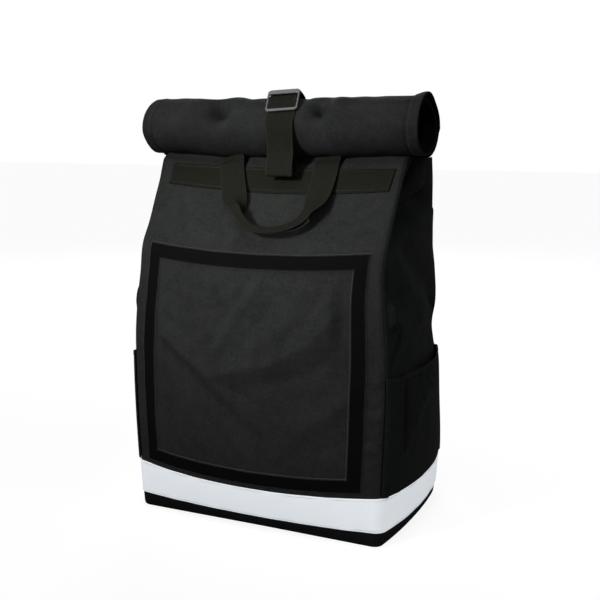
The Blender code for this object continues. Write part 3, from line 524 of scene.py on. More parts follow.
def grid_mesh(name, grid, uv=None, closed=False):
    """A mesh of quads from rows by columns of points, with its UV map."""
    rows, columns = grid.shape[:2]
    if uv is None:
        uv = cloth_uv(grid)
    if closed:
        grid = np.concatenate([grid, grid[:, :1]], axis=1)
        gap = np.linalg.norm(grid[:, -1] - grid[:, -2], axis=1)
        last = np.stack([uv[:, -1, 0] + gap, uv[:, -1, 1]], axis=-1)
        uv = np.concatenate([uv, last[:, None]], axis=1)
    r, c = np.meshgrid(np.arange(rows - 1), np.arange(grid.shape[1] - 1), indexing="ij")
    wrap = columns if closed else grid.shape[1] + 1
    a = r * columns + c % wrap
    b = r * columns + (c + 1) % wrap
    quads = np.stack([a, b, b + columns, a + columns], axis=-1).reshape(-1, 4)
    corner_r = np.stack([r, r, r + 1, r + 1], axis=-1).reshape(-1, 4)
    corner_c = np.stack([c, c + 1, c + 1, c], axis=-1).reshape(-1, 4)
    points = grid[:, :columns].reshape(-1, 3)
    mesh = bpy.data.meshes.new(name)
    mesh.vertices.add(len(points))
    mesh.vertices.foreach_set("co", points.astype(np.float32).ravel())
    mesh.loops.add(quads.size)
    mesh.loops.foreach_set("vertex_index", quads.astype(np.int32).ravel())
    mesh.polygons.add(len(quads))
    mesh.polygons.foreach_set("loop_start", np.arange(0, quads.size, 4, dtype=np.int32))
    layer = mesh.uv_layers.new(name="cloth")
    layer.data.foreach_set("uv", uv[corner_r, corner_c].astype(np.float32).ravel())
    mesh.update(calc_edges=True)
    mesh.shade_smooth()
    return mesh


def add_piece(name, mesh, material, replaces=()):
    """Put a mesh in the scene as a piece of the bag."""
    piece = bpy.data.objects.new(name, mesh)
    scene.collection.objects.link(piece)
    if material is not None:
        mesh.materials.append(material)
    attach(piece, "root")
    if replaces:
        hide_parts(*replaces)
    return piece


def steps_in(count):
    """How many steps each of a row's places is from the nearer end."""
    return np.minimum(np.arange(count), np.arange(count)[::-1])


def thicken(piece, thickness, offset):
    """Give a sheet its thickness: offset 1 is outward, -1 inward, 0 both."""
    solid = piece.modifiers.new("thickness", "SOLIDIFY")
    solid.thickness = thickness
    solid.offset = offset
    solid.use_even_offset = False
    return piece


def cloth_piece(name, grid, material, thickness, offset,
                replaces=(), held=None, closed=False, uv=None):
    """A sheet of cloth: grid, thickness, finish, and its cut size."""
    mesh = grid_mesh(name, grid, uv=uv, closed=closed)
    piece = thicken(add_piece(name, mesh, material, replaces), thickness, offset)
    faces = len(mesh.polygons) * 4
    if held:
        across = float(np.linalg.norm(np.diff(grid, axis=1), axis=2).sum(axis=1).max())
        up = float(np.linalg.norm(np.diff(grid, axis=0), axis=2).sum(axis=0).max())
        corner = np.cross(grid[1:, :-1] - grid[:-1, :-1], grid[:-1, 1:] - grid[:-1, :-1])
        area = float(np.linalg.norm(corner, axis=-1).sum())
        area = min(max(area, 0.31 * across * up), across * up)
        print(f"{name}: cut {across * 1000:.0f} x {up * 1000:.0f} mm, {faces} triangles")
    else:
        print(f"{name}: {faces} triangles")
    return piece


# %% [markdown]
# The finishes are made of nodes. Woven cloth is two crossing sets of ribs,
# read from the UV map in metres, with a broad mottle where the cloth has been
# handled. The ribs drive the bump and, faintly, the colour.

# %% Helpers for finishes


def new_finish(name, roughness, specular, sheen=0.0, metallic=0.0):
    """A Principled material, with the numbers that are the same all over."""
    material = bpy.data.materials.new(name)
    material.use_nodes = True
    shader = material.node_tree.nodes["Principled BSDF"]
    shader.inputs["Roughness"].default_value = roughness
    shader.inputs["Specular IOR Level"].default_value = specular
    shader.inputs["Sheen Weight"].default_value = sheen
    shader.inputs["Metallic"].default_value = metallic
    return material, material.node_tree, shader


def add_node(tree, kind, **values):
    """A node of a kind, with its properties set."""
    node = tree.nodes.new(kind)
    for key, value in values.items():
        setattr(node, key, value)
    return node


def math_node(tree, operation, first, second=None, third=None):
    """A Math node; each input is a number or another node's output."""
    node = add_node(tree, "ShaderNodeMath", operation=operation)
    for index, value in enumerate((first, second, third)):
        if value is None:
            continue
        if isinstance(value, (int, float)):
            node.inputs[index].default_value = value
        else:
            tree.links.new(value, node.inputs[index])
    return node.outputs[0]


def noise_node(tree, vector, scale, detail=3.0, roughness=0.55):
    """A noise texture's grey value."""
    node = add_node(tree, "ShaderNodeTexNoise")
    node.inputs["Scale"].default_value = scale
    node.inputs["Detail"].default_value = detail
    node.inputs["Roughness"].default_value = roughness
    tree.links.new(vector, node.inputs["Vector"])
    return node.outputs["Fac"]


def mix_colour(tree, share, dark, light):
    """A colour between two, by a share that may be a node's output."""
    node = add_node(tree, "ShaderNodeMix", data_type="RGBA")
    tree.links.new(share, node.inputs["Factor"])
    for socket, colour in ((node.inputs[6], dark), (node.inputs[7], light)):
        if isinstance(colour, tuple):
            socket.default_value = (*colour, 1.0)
        else:
            tree.links.new(colour, socket)
    return node.outputs[2]


def bump_node(tree, height, distance, normal=None):
    """A Bump node over a height, chained after another normal."""
    node = add_node(tree, "ShaderNodeBump")
    node.inputs["Distance"].default_value = distance
    tree.links.new(height, node.inputs["Height"])
    if normal is not None:
        tree.links.new(normal, node.inputs["Normal"])
    return node.outputs["Normal"]


def weighed(tree, start, *parts):
    """A start plus each value times its weight, held between 0 and 1."""
    total = start
    for value, weight in parts:
        total = math_node(tree, "MULTIPLY_ADD", value, weight, total)
    held = add_node(tree, "ShaderNodeClamp")
    tree.links.new(total, held.inputs["Value"])
    return held.outputs[0]


def past_edge(tree, across, start, end):
    """0 up to a distance from the tape's middle line, 1 past another."""
    node = add_node(tree, "ShaderNodeMapRange")
    node.inputs["From Min"].default_value = start
    node.inputs["From Max"].default_value = end
    tree.links.new(math_node(tree, "ABSOLUTE", across), node.inputs["Value"])
    return node.outputs[0]


def link_finish(tree, shader, colour, normal, rough=None):
    """Join the colour, the bumps and, where it varies, the roughness."""
    tree.links.new(colour, shader.inputs["Base Color"])
    tree.links.new(normal, shader.inputs["Normal"])
    if rough is not None:
        tree.links.new(rough, shader.inputs["Roughness"])


def cloth_coordinates(tree):
    """The UV map in metres, and its two parts."""
    uv = add_node(tree, "ShaderNodeUVMap", uv_map="cloth")
    parts = add_node(tree, "ShaderNodeSeparateXYZ")
    tree.links.new(uv.outputs["UV"], parts.inputs["Vector"])
    return uv.outputs["UV"], parts.outputs["X"], parts.outputs["Y"]


def ribs(tree, along, pitch):
    """Rounded threads: |sin| of the place along the cloth over the pitch."""
    angle = math_node(tree, "MULTIPLY", along, math.pi / pitch)
    return math_node(tree, "ABSOLUTE", math_node(tree, "SINE", angle))


def weave(tree, u, v, pitch):
    """Plain weave: the warp shows where the weft goes under, and so on.

    A checker of the two thread directions picks which rib is on top.
    """
    warp = ribs(tree, u, pitch)
    weft = ribs(tree, v, pitch)
    cell_u = math_node(tree, "FLOOR", math_node(tree, "DIVIDE", u, pitch))
    cell_v = math_node(tree, "FLOOR", math_node(tree, "DIVIDE", v, pitch))
    odd = math_node(tree, "PINGPONG", math_node(tree, "ADD", cell_u, cell_v), 1.0)
    over = math_node(tree, "MULTIPLY", warp, odd)
    under = math_node(tree, "MULTIPLY", weft, math_node(tree, "SUBTRACT", 1.0, odd))
    return math_node(tree, "ADD", over, under)


# %% [markdown]
# The body is a heavy woven synthetic, coated inside: matt black with a slight
# green-grey cast. A coarse weave and mottles of four sizes give that. The
# sides, the base, the pads and the lining are the same cloth between other
# greys. The sides' darker greys are painted shade for the side away from the
# key lamp, and the lining's near-black is painted shade in the roll's hollow.

# %% Body cloth


def make_body_cloth(name, dark, light, pitch=0.0009, bump=0.00022):
    """Woven cloth between two greys, with ribs of the given pitch."""
    material, tree, shader = new_finish(name, 0.72, 0.07)
    uv, u, v = cloth_coordinates(tree)
    threads = weave(tree, u, v, pitch)
    slub = noise_node(tree, uv, 900.0, 2.0, 0.7)
    handled = noise_node(tree, uv, 14.0, 4.0, 0.6)
    speck = noise_node(tree, uv, 230.0, 3.0, 0.75)
    mottle = noise_node(tree, uv, 60.0, 3.0, 0.6)
    soft = noise_node(tree, uv, 45.0, 3.0, 0.55)
    share = weighed(tree, -1.15, (threads, 0.40), (handled, 0.90), (speck, 1.35), (mottle, 0.70))
    normal = bump_node(tree, math_node(tree, "MULTIPLY_ADD", slub, 0.5, threads), bump)
    link_finish(tree, shader, mix_colour(tree, share, dark, light),
                bump_node(tree, soft, 0.0007, normal),
                math_node(tree, "MULTIPLY_ADD", handled, 0.22, 0.60))
    return material


body_cloth = make_body_cloth("body_cloth", (0.0150, 0.0164, 0.0152), (0.0400, 0.0428, 0.0406))
# Painted shade: the sides, back and pockets take a darker copy of the body cloth, for the side away from
# the key lamp.
side_cloth_painted_shade = make_body_cloth("side_cloth_painted_shade", (0.0066, 0.0073, 0.0077), (0.0200, 0.0215, 0.0224))
base_cloth = make_body_cloth("base_cloth", (0.0070, 0.0075, 0.0080), (0.0170, 0.0180, 0.0190), 0.0011)
padding_cloth = make_body_cloth("padding_cloth", (0.0070, 0.0075, 0.0075),
                                (0.0180, 0.0190, 0.0190), 0.0008)
# Painted shade: the lining is far darker than the cloth, so that the roll's hollow reads as lying in
# shade.
lining_painted_shade = make_body_cloth("lining_painted_shade", (0.0020, 0.0022, 0.0022), (0.0060, 0.0064, 0.0066))
print("cloth finishes:", body_cloth.name, base_cloth.name, padding_cloth.name)

# %% [markdown]
# Webbing is woven in narrow lengthways ribs with a tight selvage at each edge.
# The UV map's u runs across the webbing, from minus to plus half its width.

# %% Webbing, pile, tape, metal and thread


def make_webbing(name, dark, light, half_width):
    """Ribbed webbing. u is metres across the webbing and v along it."""
    material, tree, shader = new_finish(name, 0.62, 0.10)
    uv, u, v = cloth_coordinates(tree)
    lengthways = ribs(tree, u, 0.0022)
    picks = ribs(tree, v, 0.0013)
    selvage = past_edge(tree, u, half_width - 0.0022, half_width - 0.0006)
    dust = noise_node(tree, uv, 120.0, 3.0, 0.6)
    share = weighed(tree, -0.20, (lengthways, 0.45), (dust, 0.5), (selvage, 0.55))
    height = math_node(tree, "MULTIPLY_ADD", picks, 0.45, lengthways)
    link_finish(tree, shader, mix_colour(tree, share, dark, light),
                bump_node(tree, height, 0.0003))
    return material


webbing = make_webbing("webbing", (0.0060, 0.0060, 0.0044), (0.0250, 0.0250, 0.0180), WEBBING_WIDTH / 2)
band_webbing = make_webbing("band_webbing", (0.0058, 0.0059, 0.0036), (0.0175, 0.0180, 0.0112), 0.016)
narrow_webbing = make_webbing("narrow_webbing", (0.0060, 0.0060, 0.0050),
                              (0.0210, 0.0210, 0.0180), 0.0125)


def make_pile():
    """Hook-and-loop tape: short matted fibres, blacker than the cloth.

    u is metres across the tape; the woven selvage at both edges is lighter.
    """
    material, tree, shader = new_finish("hook_and_loop", 0.95, 0.04)
    uv, u = cloth_coordinates(tree)[:2]
    tufts = noise_node(tree, uv, 700.0, 4.0, 0.75)
    matted = noise_node(tree, uv, 90.0, 3.0, 0.6)
    height = math_node(tree, "MULTIPLY_ADD", matted, 0.8, tufts)
    selvage = past_edge(tree, u, 0.0098, 0.0104)
    dark = mix_colour(tree, tufts, (0.002, 0.002, 0.002), (0.009, 0.009, 0.009))
    link_finish(tree, shader, mix_colour(tree, selvage, dark, (0.070, 0.072, 0.070)),
                bump_node(tree, height, 0.0008))
    return material


pile = make_pile()
TAPE_GLOW = 0.53


def make_silver():
    """Reflective tape: silver cloth set with fine beads, faintly creased.

    The even glow stands for the light that the beads throw back to the lens.
    """
    material, tree, shader = new_finish("reflective_tape", 0.45, 0.3)
    shader.inputs["Emission Color"].default_value = (0.90, 0.95, 1.0, 1.0)
    shader.inputs["Emission Strength"].default_value = TAPE_GLOW
    uv = cloth_coordinates(tree)[0]
    beads = noise_node(tree, uv, 1500.0, 2.0, 0.6)
    scuff = noise_node(tree, uv, 22.0, 5.0, 0.65)
    share = weighed(tree, 0.10, (scuff, 0.9), (beads, 0.25))
    normal = bump_node(tree, scuff, 0.0006, bump_node(tree, beads, 0.00006))
    link_finish(tree, shader, mix_colour(tree, share, (0.62, 0.64, 0.68), (0.80, 0.82, 0.86)),
                normal, math_node(tree, "MULTIPLY_ADD", scuff, 0.25, 0.32))
    return material


silver = make_silver()


def make_metal():
    """Grey enamelled steel, worn lighter and smoother in small patches."""
    material, tree, shader = new_finish("slider_metal", 0.32, 0.5, metallic=0.6)
    place = add_node(tree, "ShaderNodeTexCoord").outputs["Object"]
    wear = noise_node(tree, place, 160.0, 4.0, 0.6)
    grain = noise_node(tree, place, 1800.0, 2.0, 0.5)
    link_finish(tree, shader, mix_colour(tree, wear, (0.105, 0.106, 0.108), (0.20, 0.20, 0.205)),
                bump_node(tree, grain, 0.00003), math_node(tree, "MULTIPLY_ADD", wear, 0.22, 0.20))
    return material


metal = make_metal()


def make_plastic():
    """Moulded black plastic with a fine spark-eroded grain."""
    material, tree, shader = new_finish("buckle_plastic", 0.42, 0.4)
    place = add_node(tree, "ShaderNodeTexCoord").outputs["Object"]
    grain = noise_node(tree, place, 2200.0, 2.0, 0.5)
    shade = noise_node(tree, place, 60.0, 3.0, 0.6)
    link_finish(tree, shader, mix_colour(tree, shade, (0.010, 0.010, 0.011), (0.020, 0.020, 0.021)),
                bump_node(tree, grain, 0.00006))
    return material


plastic = make_plastic()


def make_thread():
    """Twisted sewing thread: a diagonal ply in colour and bump."""
    material, tree, shader = new_finish("sewing_thread", 0.6, 0.3, sheen=0.2)
    place = add_node(tree, "ShaderNodeTexCoord").outputs["Object"]
    ply = noise_node(tree, place, 2500.0, 2.0, 0.5)
    link_finish(tree, shader, mix_colour(tree, ply, (0.012, 0.012, 0.011), (0.050, 0.050, 0.046)),
                bump_node(tree, ply, 0.0001))
    return material


thread = make_thread()
print("finishes:", len(bpy.data.materials))

# %% [markdown]
# The body is four panels sewn at the corners. Each panel here carries half of
# the rounded corner at either end, and a shallow groove where it meets the
# next one, as a turned seam has.

# %% Body panels

SIDES = ("front", "right", "back", "left")


def side_margin(side):
    """The corner's radius as a share of a side's length."""
    return CORNER_RADIUS / (BODY_WIDTH if side in ("front", "back") else BODY_DEPTH)


def corner_arc(side, heights, turns):
    """Points of the rounded corner after a side.

    A quarter circle as a rational curve: the corner point is weighted by the
    cosine of 45 degrees between the two points where the arc starts and ends.
    """
    after = SIDES[(SIDES.index(side) + 1) % 4]
    a = body_place(side, 1 - side_margin(side), heights)[:, None]
    b = body_place(after, side_margin(after), heights)[:, None]
    c = body_place(side, 1.0, heights)[:, None]
    s = np.asarray(turns, float)[None, :, None]
    w = math.cos(math.pi / 4)
    weight = (1 - s) ** 2 + 2 * w * s * (1 - s) + s ** 2
    return ((1 - s) ** 2 * a + 2 * w * s * (1 - s) * c + s ** 2 * b) / weight


def grid_normals(grid):
    """Unit normals of a grid: cross product of its two gradients."""
    return unit(np.cross(np.gradient(grid, axis=1), np.gradient(grid, axis=0)))


def panel_places(side, heights, steps, arcs=5):
    """A smooth panel: half a corner arc, the side's points, half an arc.

    The second result is the share along the side of each column.
    """
    before = SIDES[SIDES.index(side) - 1]
    margin = side_margin(side)
    t = np.linspace(margin, 1 - margin, steps)
    first = corner_arc(before, heights, np.linspace(0.5, 1.0, arcs)[:-1])
    last = corner_arc(side, heights, np.linspace(0.0, 0.5, arcs)[1:])
    grid = np.concatenate([first, body_place(side, t[None, :], heights[:, None]), last], axis=1)
    return grid, np.concatenate([np.zeros(arcs - 1), t, np.ones(arcs - 1)])


SEAM_GROOVE, SEAM_GROOVE_STEPS = 0.0006, 1.5


def panel_grid(side, heights, steps):
    """A panel with its folds, and a groove along the seams at both ends."""
    grid, all_t = panel_places(side, heights, steps)
    relief = panel_relief(side, all_t[None, :], heights[:, None])
    seam = steps_in(grid.shape[1])[None, :]
    relief = relief - SEAM_GROOVE * np.exp(-(seam / SEAM_GROOVE_STEPS) ** 2)
    return grid + grid_normals(grid) * relief[..., None]


ROLL_Y = ROLL_OVERHANG - BODY_DEPTH / 2 + ROLL_RADIUS * ROLL_STRETCH - ROLL_SHEET / 2
ROLL_Z = MOUTH_HEIGHT + 0.0011 + 1.5 * ROLL_SHEET + ROLL_RADIUS - 0.5 * ROLL_PITCH
UNDER_RADIUS = 0.0368
NECK_DRAW = 0.013


def tuck_under_roll(grid, heights):
    """Rows above the mouth rise to the roll's underside and end in it.

    The neck is drawn in towards the back there, so the roll hangs over it.
    The underside is an ellipse: z = axis - r sqrt(1 - (y/(r stretch))^2).
    """
    sag = mouth_sag(grid[..., 0])
    reach = np.clip((grid[..., 1] - ROLL_Y) / (UNDER_RADIUS * ROLL_STRETCH), -1.0, 1.0)
    under = ROLL_Z - UNDER_RADIUS * np.sqrt(1 - reach ** 2) - sag
    mouth = MOUTH_HEIGHT + 0.001 - sag
    under = mouth + (under - mouth) * (1 - smooth_ramp(grid[..., 1] - ROLL_Y - 0.034, 0.010))
    drawn = smooth_ramp(heights - MOUTH_HEIGHT + 0.006, 0.016)[:, None]
    drawn = drawn * (1 - smooth_ramp(grid[..., 1] - ROLL_Y, 0.02))
    grid[..., 1] += NECK_DRAW * drawn
    above = (heights > MOUTH_HEIGHT)[:, None]
    grid[..., 2] = np.where(above, np.minimum(grid[..., 2], under), grid[..., 2])
    return grid


PANEL_STEPS = {"front": 190, "right": 110, "back": 90, "left": 90}
PANEL_ROWS = {"front": 200, "right": 200, "back": 110, "left": 140}
for side in SIDES:
    heights = np.linspace(TRAY_HEIGHT + 0.0003, MOUTH_HEIGHT, PANEL_ROWS[side])
    if side != "back":
        heights = np.concatenate([heights, MOUTH_HEIGHT + np.linspace(0.002, 0.022, 10)])
    grid = tuck_under_roll(panel_grid(side, heights, PANEL_STEPS[side]), heights)
    # Every panel but the front takes the darker copy of the cloth, which is painted shade.
    finish = body_cloth if side == "front" else side_cloth_painted_shade
    cloth_piece("body_" + side, grid, finish, CLOTH, -1.0,
                replaces=("body_shell",), held="stretched")

# %% [markdown]
# The silver tape goes round the body just above the base. It is a ring of its
# own, a fraction of a millimetre proud, with low ripples and a shallow groove
# under the stitches at both edges.

# %% Reflective tape


def ring_grid(heights, lift, steps=(150, 90, 60, 60)):
    """A closed ring round the body: the four sides and their corner arcs."""
    parts = []
    for side, count in zip(SIDES, steps):
        margin = side_margin(side)
        t = np.linspace(margin, 1 - margin, count)
        parts.append(body_place(side, t[None, :], heights[:, None]))
        parts.append(corner_arc(side, heights, np.linspace(0.0, 1.0, 9)[1:-1]))
    ring = np.concatenate(parts, axis=1)
    along = np.roll(ring, -1, axis=1) - np.roll(ring, 1, axis=1)
    normal = unit(np.cross(along, np.gradient(ring, axis=0)))
    return ring + normal * np.asarray(lift)[..., None]


TAPE_LIFT, TAPE_RIPPLE, TAPE_GROOVE = 0.0006, 0.00016, 0.00035
TAPE_COLUMN = 0.0030
tape_heights = np.linspace(TRAY_HEIGHT + 0.0003, TRAY_HEIGHT + TAPE_WIDTH, 26)
columns = ring_grid(tape_heights, np.zeros((len(tape_heights), 1))).shape[1]
run = np.arange(columns)[None, :] * TAPE_COLUMN
across = tape_heights[:, None]
ripple = soft_waves(run, across * 1.5, 0.045, TAPE_RIPPLE, 21)
edge = np.minimum(across - tape_heights[0], tape_heights[-1] - across)
stitched = -TAPE_GROOVE * np.exp(-((edge - 0.0030) / 0.0009) ** 2)
tape = ring_grid(tape_heights, TAPE_LIFT + ripple + stitched)
cloth_piece("silver_tape", tape, silver, 0.0009, 1.0,
            replaces=("reflective_band",), held="stretched", closed=True)

# %% [markdown]
# The base is a panel of coated cloth with a low upstand, which shows as a
# black strip under the tape. Its underside rests on the floor.

# %% Base


def base_grid():
    """The upstand, turned in at the floor, and the panel's rings inward.

    The panel's rings are the lowest ring drawn towards its middle.
    """
    heights = np.array([0.0, 0.0012, 0.0035, 0.007, 0.012, 0.0180, 0.0195, TRAY_HEIGHT])
    upstand = ring_grid(np.maximum(heights, 0.0002), np.zeros((len(heights), 1)))
    upstand[:, :, 2] = heights[:, None]
    draw = np.array([0.0022, 0.0008, 0.0002, 0, 0, 0, 0.0006, 0.0009])
    inward = upstand.mean(axis=1, keepdims=True) - upstand
    inward[..., 2] = 0
    upstand = upstand + unit(inward) * draw[:, None, None]
    floor_ring = upstand[:1]
    centre = floor_ring.mean(axis=1, keepdims=True)
    shares = (0.02, 0.25, 0.5, 0.75, 0.96)
    panel = np.concatenate([centre + (floor_ring - centre) * s for s in shares], axis=0)
    panel[..., 2] = 0.0
    return np.concatenate([panel, upstand], axis=0)


cloth_piece("base_panel", base_grid(), base_cloth, 0.0022, -1.0,
            replaces=("base_tray",), closed=True)

# %% [markdown]
# Pieces that are sewn on the front panel have to follow its folds. A place on
# the folded front is the smooth place plus the folds' height plus a lift.

# %% Places on the folded panels


def front_spot(x, height, lift):
    """Point over the folded front panel, x from its middle line."""
    t = 0.5 + np.asarray(x, float) / BODY_WIDTH
    return body_point("front", t, height, panel_relief("front", t, height) + lift)


def back_spot(x, height, lift):
    """Point over the folded back panel, x from its middle line."""
    t = 0.5 - np.asarray(x, float) / BODY_WIDTH
    return body_point("back", t, height, panel_relief("back", t, height) + lift)


# %% [markdown]
# The square of hook-and-loop tape carries a removable sign or light. It is one
# grid of nested rectangles, so that its corners are mitred as sewn tape is.

# %% Hook-and-loop frame

HOOK_TAPE_WIDTH = 0.022
HOOK_LEFT, HOOK_RIGHT = -0.1690, 0.1656
HOOK_FLARE = 0.0065
HOOK_BOTTOM, HOOK_TOP = 0.0775, 0.4025
HOOK_STEPS_ACROSS, HOOK_STEPS_UP = 150, 145
HOOK_SELVAGE, HOOK_THICK = 0.0014, 0.0012


def nested_rectangle(insets):
    """Places of nested rectangles: x and height, one row per inset.

    The right edge flares outwards with the cube of the share up it.
    """
    rows_x, rows_h = [], []
    s = np.linspace(0, 1, HOOK_STEPS_ACROSS, endpoint=False)
    r = np.linspace(0, 1, HOOK_STEPS_UP, endpoint=False)
    for inset in insets:
        left, right = HOOK_LEFT + inset, HOOK_RIGHT - inset
        low, high = HOOK_BOTTOM + inset, HOOK_TOP - inset
        up_right = right + HOOK_FLARE * r ** 3
        rows_x.append(np.concatenate([left + (right - left) * s, up_right,
                                      up_right[-1] - (up_right[-1] - left) * s,
                                      np.full_like(r, left)]))
        rows_h.append(np.concatenate([np.full_like(s, low), low + (high - low) * r,
                                      np.full_like(s, high), high - (high - low) * r]))
    return np.array(rows_x), np.array(rows_h)


insets = np.array([0.0, 0.0006, 0.0014, 0.003, 0.006, 0.009, 0.013, 0.016, 0.019,
                   0.0206, 0.0214, 0.022])
hook_x, hook_h = nested_rectangle(insets)
fibre = np.random.default_rng(8).normal(0, 0.00010, hook_x.shape)
selvage = np.minimum(insets, HOOK_TAPE_WIDTH - insets)[:, None]
thick = HOOK_THICK * np.clip(selvage / HOOK_SELVAGE, 0.25, 1.0) + fibre * (selvage > 0.001)
hook_grid = front_spot(hook_x, hook_h, 0.0004 + thick)
hook_uv = np.stack(np.broadcast_arrays(
    (insets - HOOK_TAPE_WIDTH / 2)[:, None], np.linspace(0, 1.3, hook_x.shape[1])), axis=-1)
cloth_piece("hook_frame", hook_grid, pile, 0.0012, -1.0,
            replaces=("hook_loop_frame",), closed=True, uv=hook_uv)

# %% [markdown]
# A band of webbing is sewn across the front under the roll. It anchors the
# handle and the closure strap. Both ends are cut on a slight slant.

# %% Webbing band

BAND_LOW, BAND_HIGH, BAND_REACH = 0.4785, 0.5080, 0.17
BAND_LEFT, BAND_RIGHT, BAND_COLUMNS = -0.1690, 0.1760, 220


def band_height(x, share):
    """Height of the band over the floor: higher at the left and the middle."""
    left = np.clip(-x / BAND_REACH, 0.0, 1.0)
    middle = 1 - np.clip(np.abs(x) / BAND_REACH, 0.0, 1.0) ** 2
    return BAND_LOW + share * (BAND_HIGH - BAND_LOW) + 0.0035 * left + 0.0045 * share * middle


def band_grid():
    """Rows of the band from its lower to its upper edge, thin at the edges."""
    share = np.array([0.0, 0.02, 0.06, 0.2, 0.35, 0.5, 0.65, 0.8, 0.94, 0.98, 1.0])[:, None]
    s = np.linspace(0, 1, BAND_COLUMNS)[None, :]
    left = BAND_LEFT + share * 0.0024
    right = BAND_RIGHT + share * 0.0035
    x = left + (right - left) * s
    height = band_height(x, share)
    rim = np.clip(np.minimum(share, 1 - share) / 0.06, 0, 1)
    pucker = soft_waves(x, height * 0, 0.03, 0.00012, 31)
    stitched = np.exp(-((np.minimum(share, 1 - share) - 0.12) / 0.03) ** 2)
    lift = 0.0004 + 0.0013 * (0.4 + 0.6 * rim) + pucker - 0.0004 * stitched
    uv = np.stack([height - (BAND_LOW + BAND_HIGH) / 2, x], axis=-1)
    return front_spot(x, height, lift), uv


grid, uv = band_grid()
cloth_piece("front_band", grid, band_webbing, 0.0012, -1.0,
            replaces=("webbing_band",), held="laid", uv=uv)

# %% [markdown]
# The mouth is rolled forward around itself two and a half times. The rolled
# sheet is a spiral in the Y-Z plane that is carried along X, so one function
# of a place along X and an angle gives all of it. Dents where it was pressed,
# a thicker hem at both ends and slack waves are added to the radius.

# %% The roll's surface

ROLL_DENTS = (
    # place along X and reach as shares of half the length, angle, spread, depth
    (-0.41, 0.068, 141.0, 23.0, 0.0205),
    (-0.23, 0.060, 94.0, 22.0, 0.0032),
    (0.155, 0.050, 94.0, 22.0, 0.0026),
    (0.99, 0.070, 12.0, 32.0, -0.0040),
    (-0.29, 0.100, 112.0, 36.0, -0.0026),
    (-0.58, 0.085, 126.0, 28.0, -0.0042),
    (0.32, 0.054, 136.0, 23.0, 0.0190),
    (0.24, 0.050, 160.0, 26.0, -0.0016),
    (0.46, 0.070, 126.0, 26.0, -0.0044),
    (-0.55, 0.070, 80.0, 26.0, 0.0040),
    (0.42, 0.090, 72.0, 26.0, 0.0046),
    (-0.72, 0.160, 158.0, 50.0, -0.0016),
    (0.62, 0.140, 160.0, 50.0, -0.0018),
    (0.99, 0.060, 82.0, 26.0, -0.0058),
    (0.98, 0.080, 200.0, 50.0, 0.0034),
    (-0.98, 0.060, 140.0, 36.0, 0.0030),
    (-0.98, 0.060, 215.0, 36.0, 0.0030),
    (-0.10, 0.050, 118.0, 26.0, 0.0016),
    (0.17, 0.045, 112.0, 26.0, 0.0018),
)
HEM = 0.0165
INNER_RECESS = 0.12
LIP_END, LIP_BEND = 0.1917, 0.006


def roll_relief(x, angle):
    """Height over the smooth spiral: dents, hems, grooves and slack waves."""
    half = ROLL_LENGTH / 2
    total = np.zeros(np.broadcast(x, angle).shape)
    for place, reach, middle, spread, depth in ROLL_DENTS:
        along = (x / half - place) / reach
        around = (angle % 360.0 - middle) / spread
        total = total - depth * np.exp(-along ** 2 - around ** 2)
    end = half - np.abs(x)
    hem = 0.0009 * np.clip((HEM - end) / 0.0012, 0.0, 1.0)
    groove = -0.0013 * np.exp(-((end - HEM) / 0.0013) ** 2)
    arc = np.radians(angle) * ROLL_RADIUS
    crush = soft_waves(x, arc, 0.028, 0.00028, 43)
    waves = soft_waves(x, arc, 0.055, 0.00050, 41)
    tight = 0.0011 * np.exp(-((x - 0.012) / 0.032) ** 2) * np.cos(np.radians(3 * (angle - 120)))
    return total + hem + groove + waves + crush - tight


def roll_point(x, angle, lift):
    """Point over the rolled sheet's middle.

    The radius shrinks by a pitch each turn. 0 degrees is the back, 90 the
    top, 180 the front and 270 the underside, then inward. Lower parts hang
    down with the mouth.
    """
    x, angle, lift = np.broadcast_arrays(
        np.asarray(x, float), np.asarray(angle, float), np.asarray(lift, float))
    turn = np.radians(angle)
    inner = np.clip((angle - 360.0) / 360.0, 0.0, 1.0)
    radius = ROLL_RADIUS - ROLL_PITCH * (angle - 90.0) / 360.0
    radius = radius + roll_relief(x, angle) * (1 - 0.5 * inner)
    crumple = 0.0026 * np.sin(2 * turn + 0.6 + 9 * x) + 0.0016 * np.sin(3 * turn + 2.0 + 14 * x)
    radius = radius + crumple * inner
    y = ROLL_Y + (radius * ROLL_STRETCH + lift) * np.cos(turn)
    z = ROLL_Z + (radius + lift) * np.sin(turn)
    z = z - mouth_sag(x) * (1 - np.sin(turn)) / 2
    return np.stack([x * (1 - INNER_RECESS * inner), y, z], axis=-1)


def roll_start(x):
    """The sheet before the spiral, six points at each place along X.

    Over the mouth it is a flat lip from front to back and a bend upwards.
    Past the body's sides it hugs the roll's underside instead. Between the
    two the points are mixed by a ramp.
    """
    lip_y = body_place("front", 0.5, MOUTH_HEIGHT)[1] + 0.016
    lip_z = MOUTH_HEIGHT + 0.0008 + ROLL_SHEET / 2 - mouth_sag(x)
    corner_y = roll_point(x, 0.0, 0.0)[..., 1]
    lip = [np.stack([x, np.full_like(x, lip_y), lip_z], axis=-1),
           np.stack([x, (lip_y + corner_y) / 2, lip_z], axis=-1)]
    for turn in (270.0, 300.0, 330.0, 360.0):
        a = math.radians(turn)
        lip.append(np.stack([x, corner_y - LIP_BEND + LIP_BEND * math.cos(a),
                             lip_z + LIP_BEND + LIP_BEND * math.sin(a)], axis=-1))
    lip = np.stack(lip, axis=1)
    lifts = ROLL_SHEET + 0.0005 + np.array([0.0, 0.0, 0.0002, 0.0008, 0.0025, 0.0055])
    hug = roll_point(x[:, None], np.array([285.0, 298.0, 311.0, 324.0, 337.0, 350.0])[None, :],
                     lifts[None, :])
    past = (np.abs(x) - LIP_END) / (ROLL_LENGTH / 2 - LIP_END)
    past = np.clip(past, 0.0, 1.0)[:, None, None]
    return lip * (1 - past) + hug * past


# %% [markdown]
# The visible turn has a point every 2.5 degrees and the hidden ones far fewer.
# The sheet is two layers of cloth lying together, so it is 3 mm thick.

# %% Rolled mouth

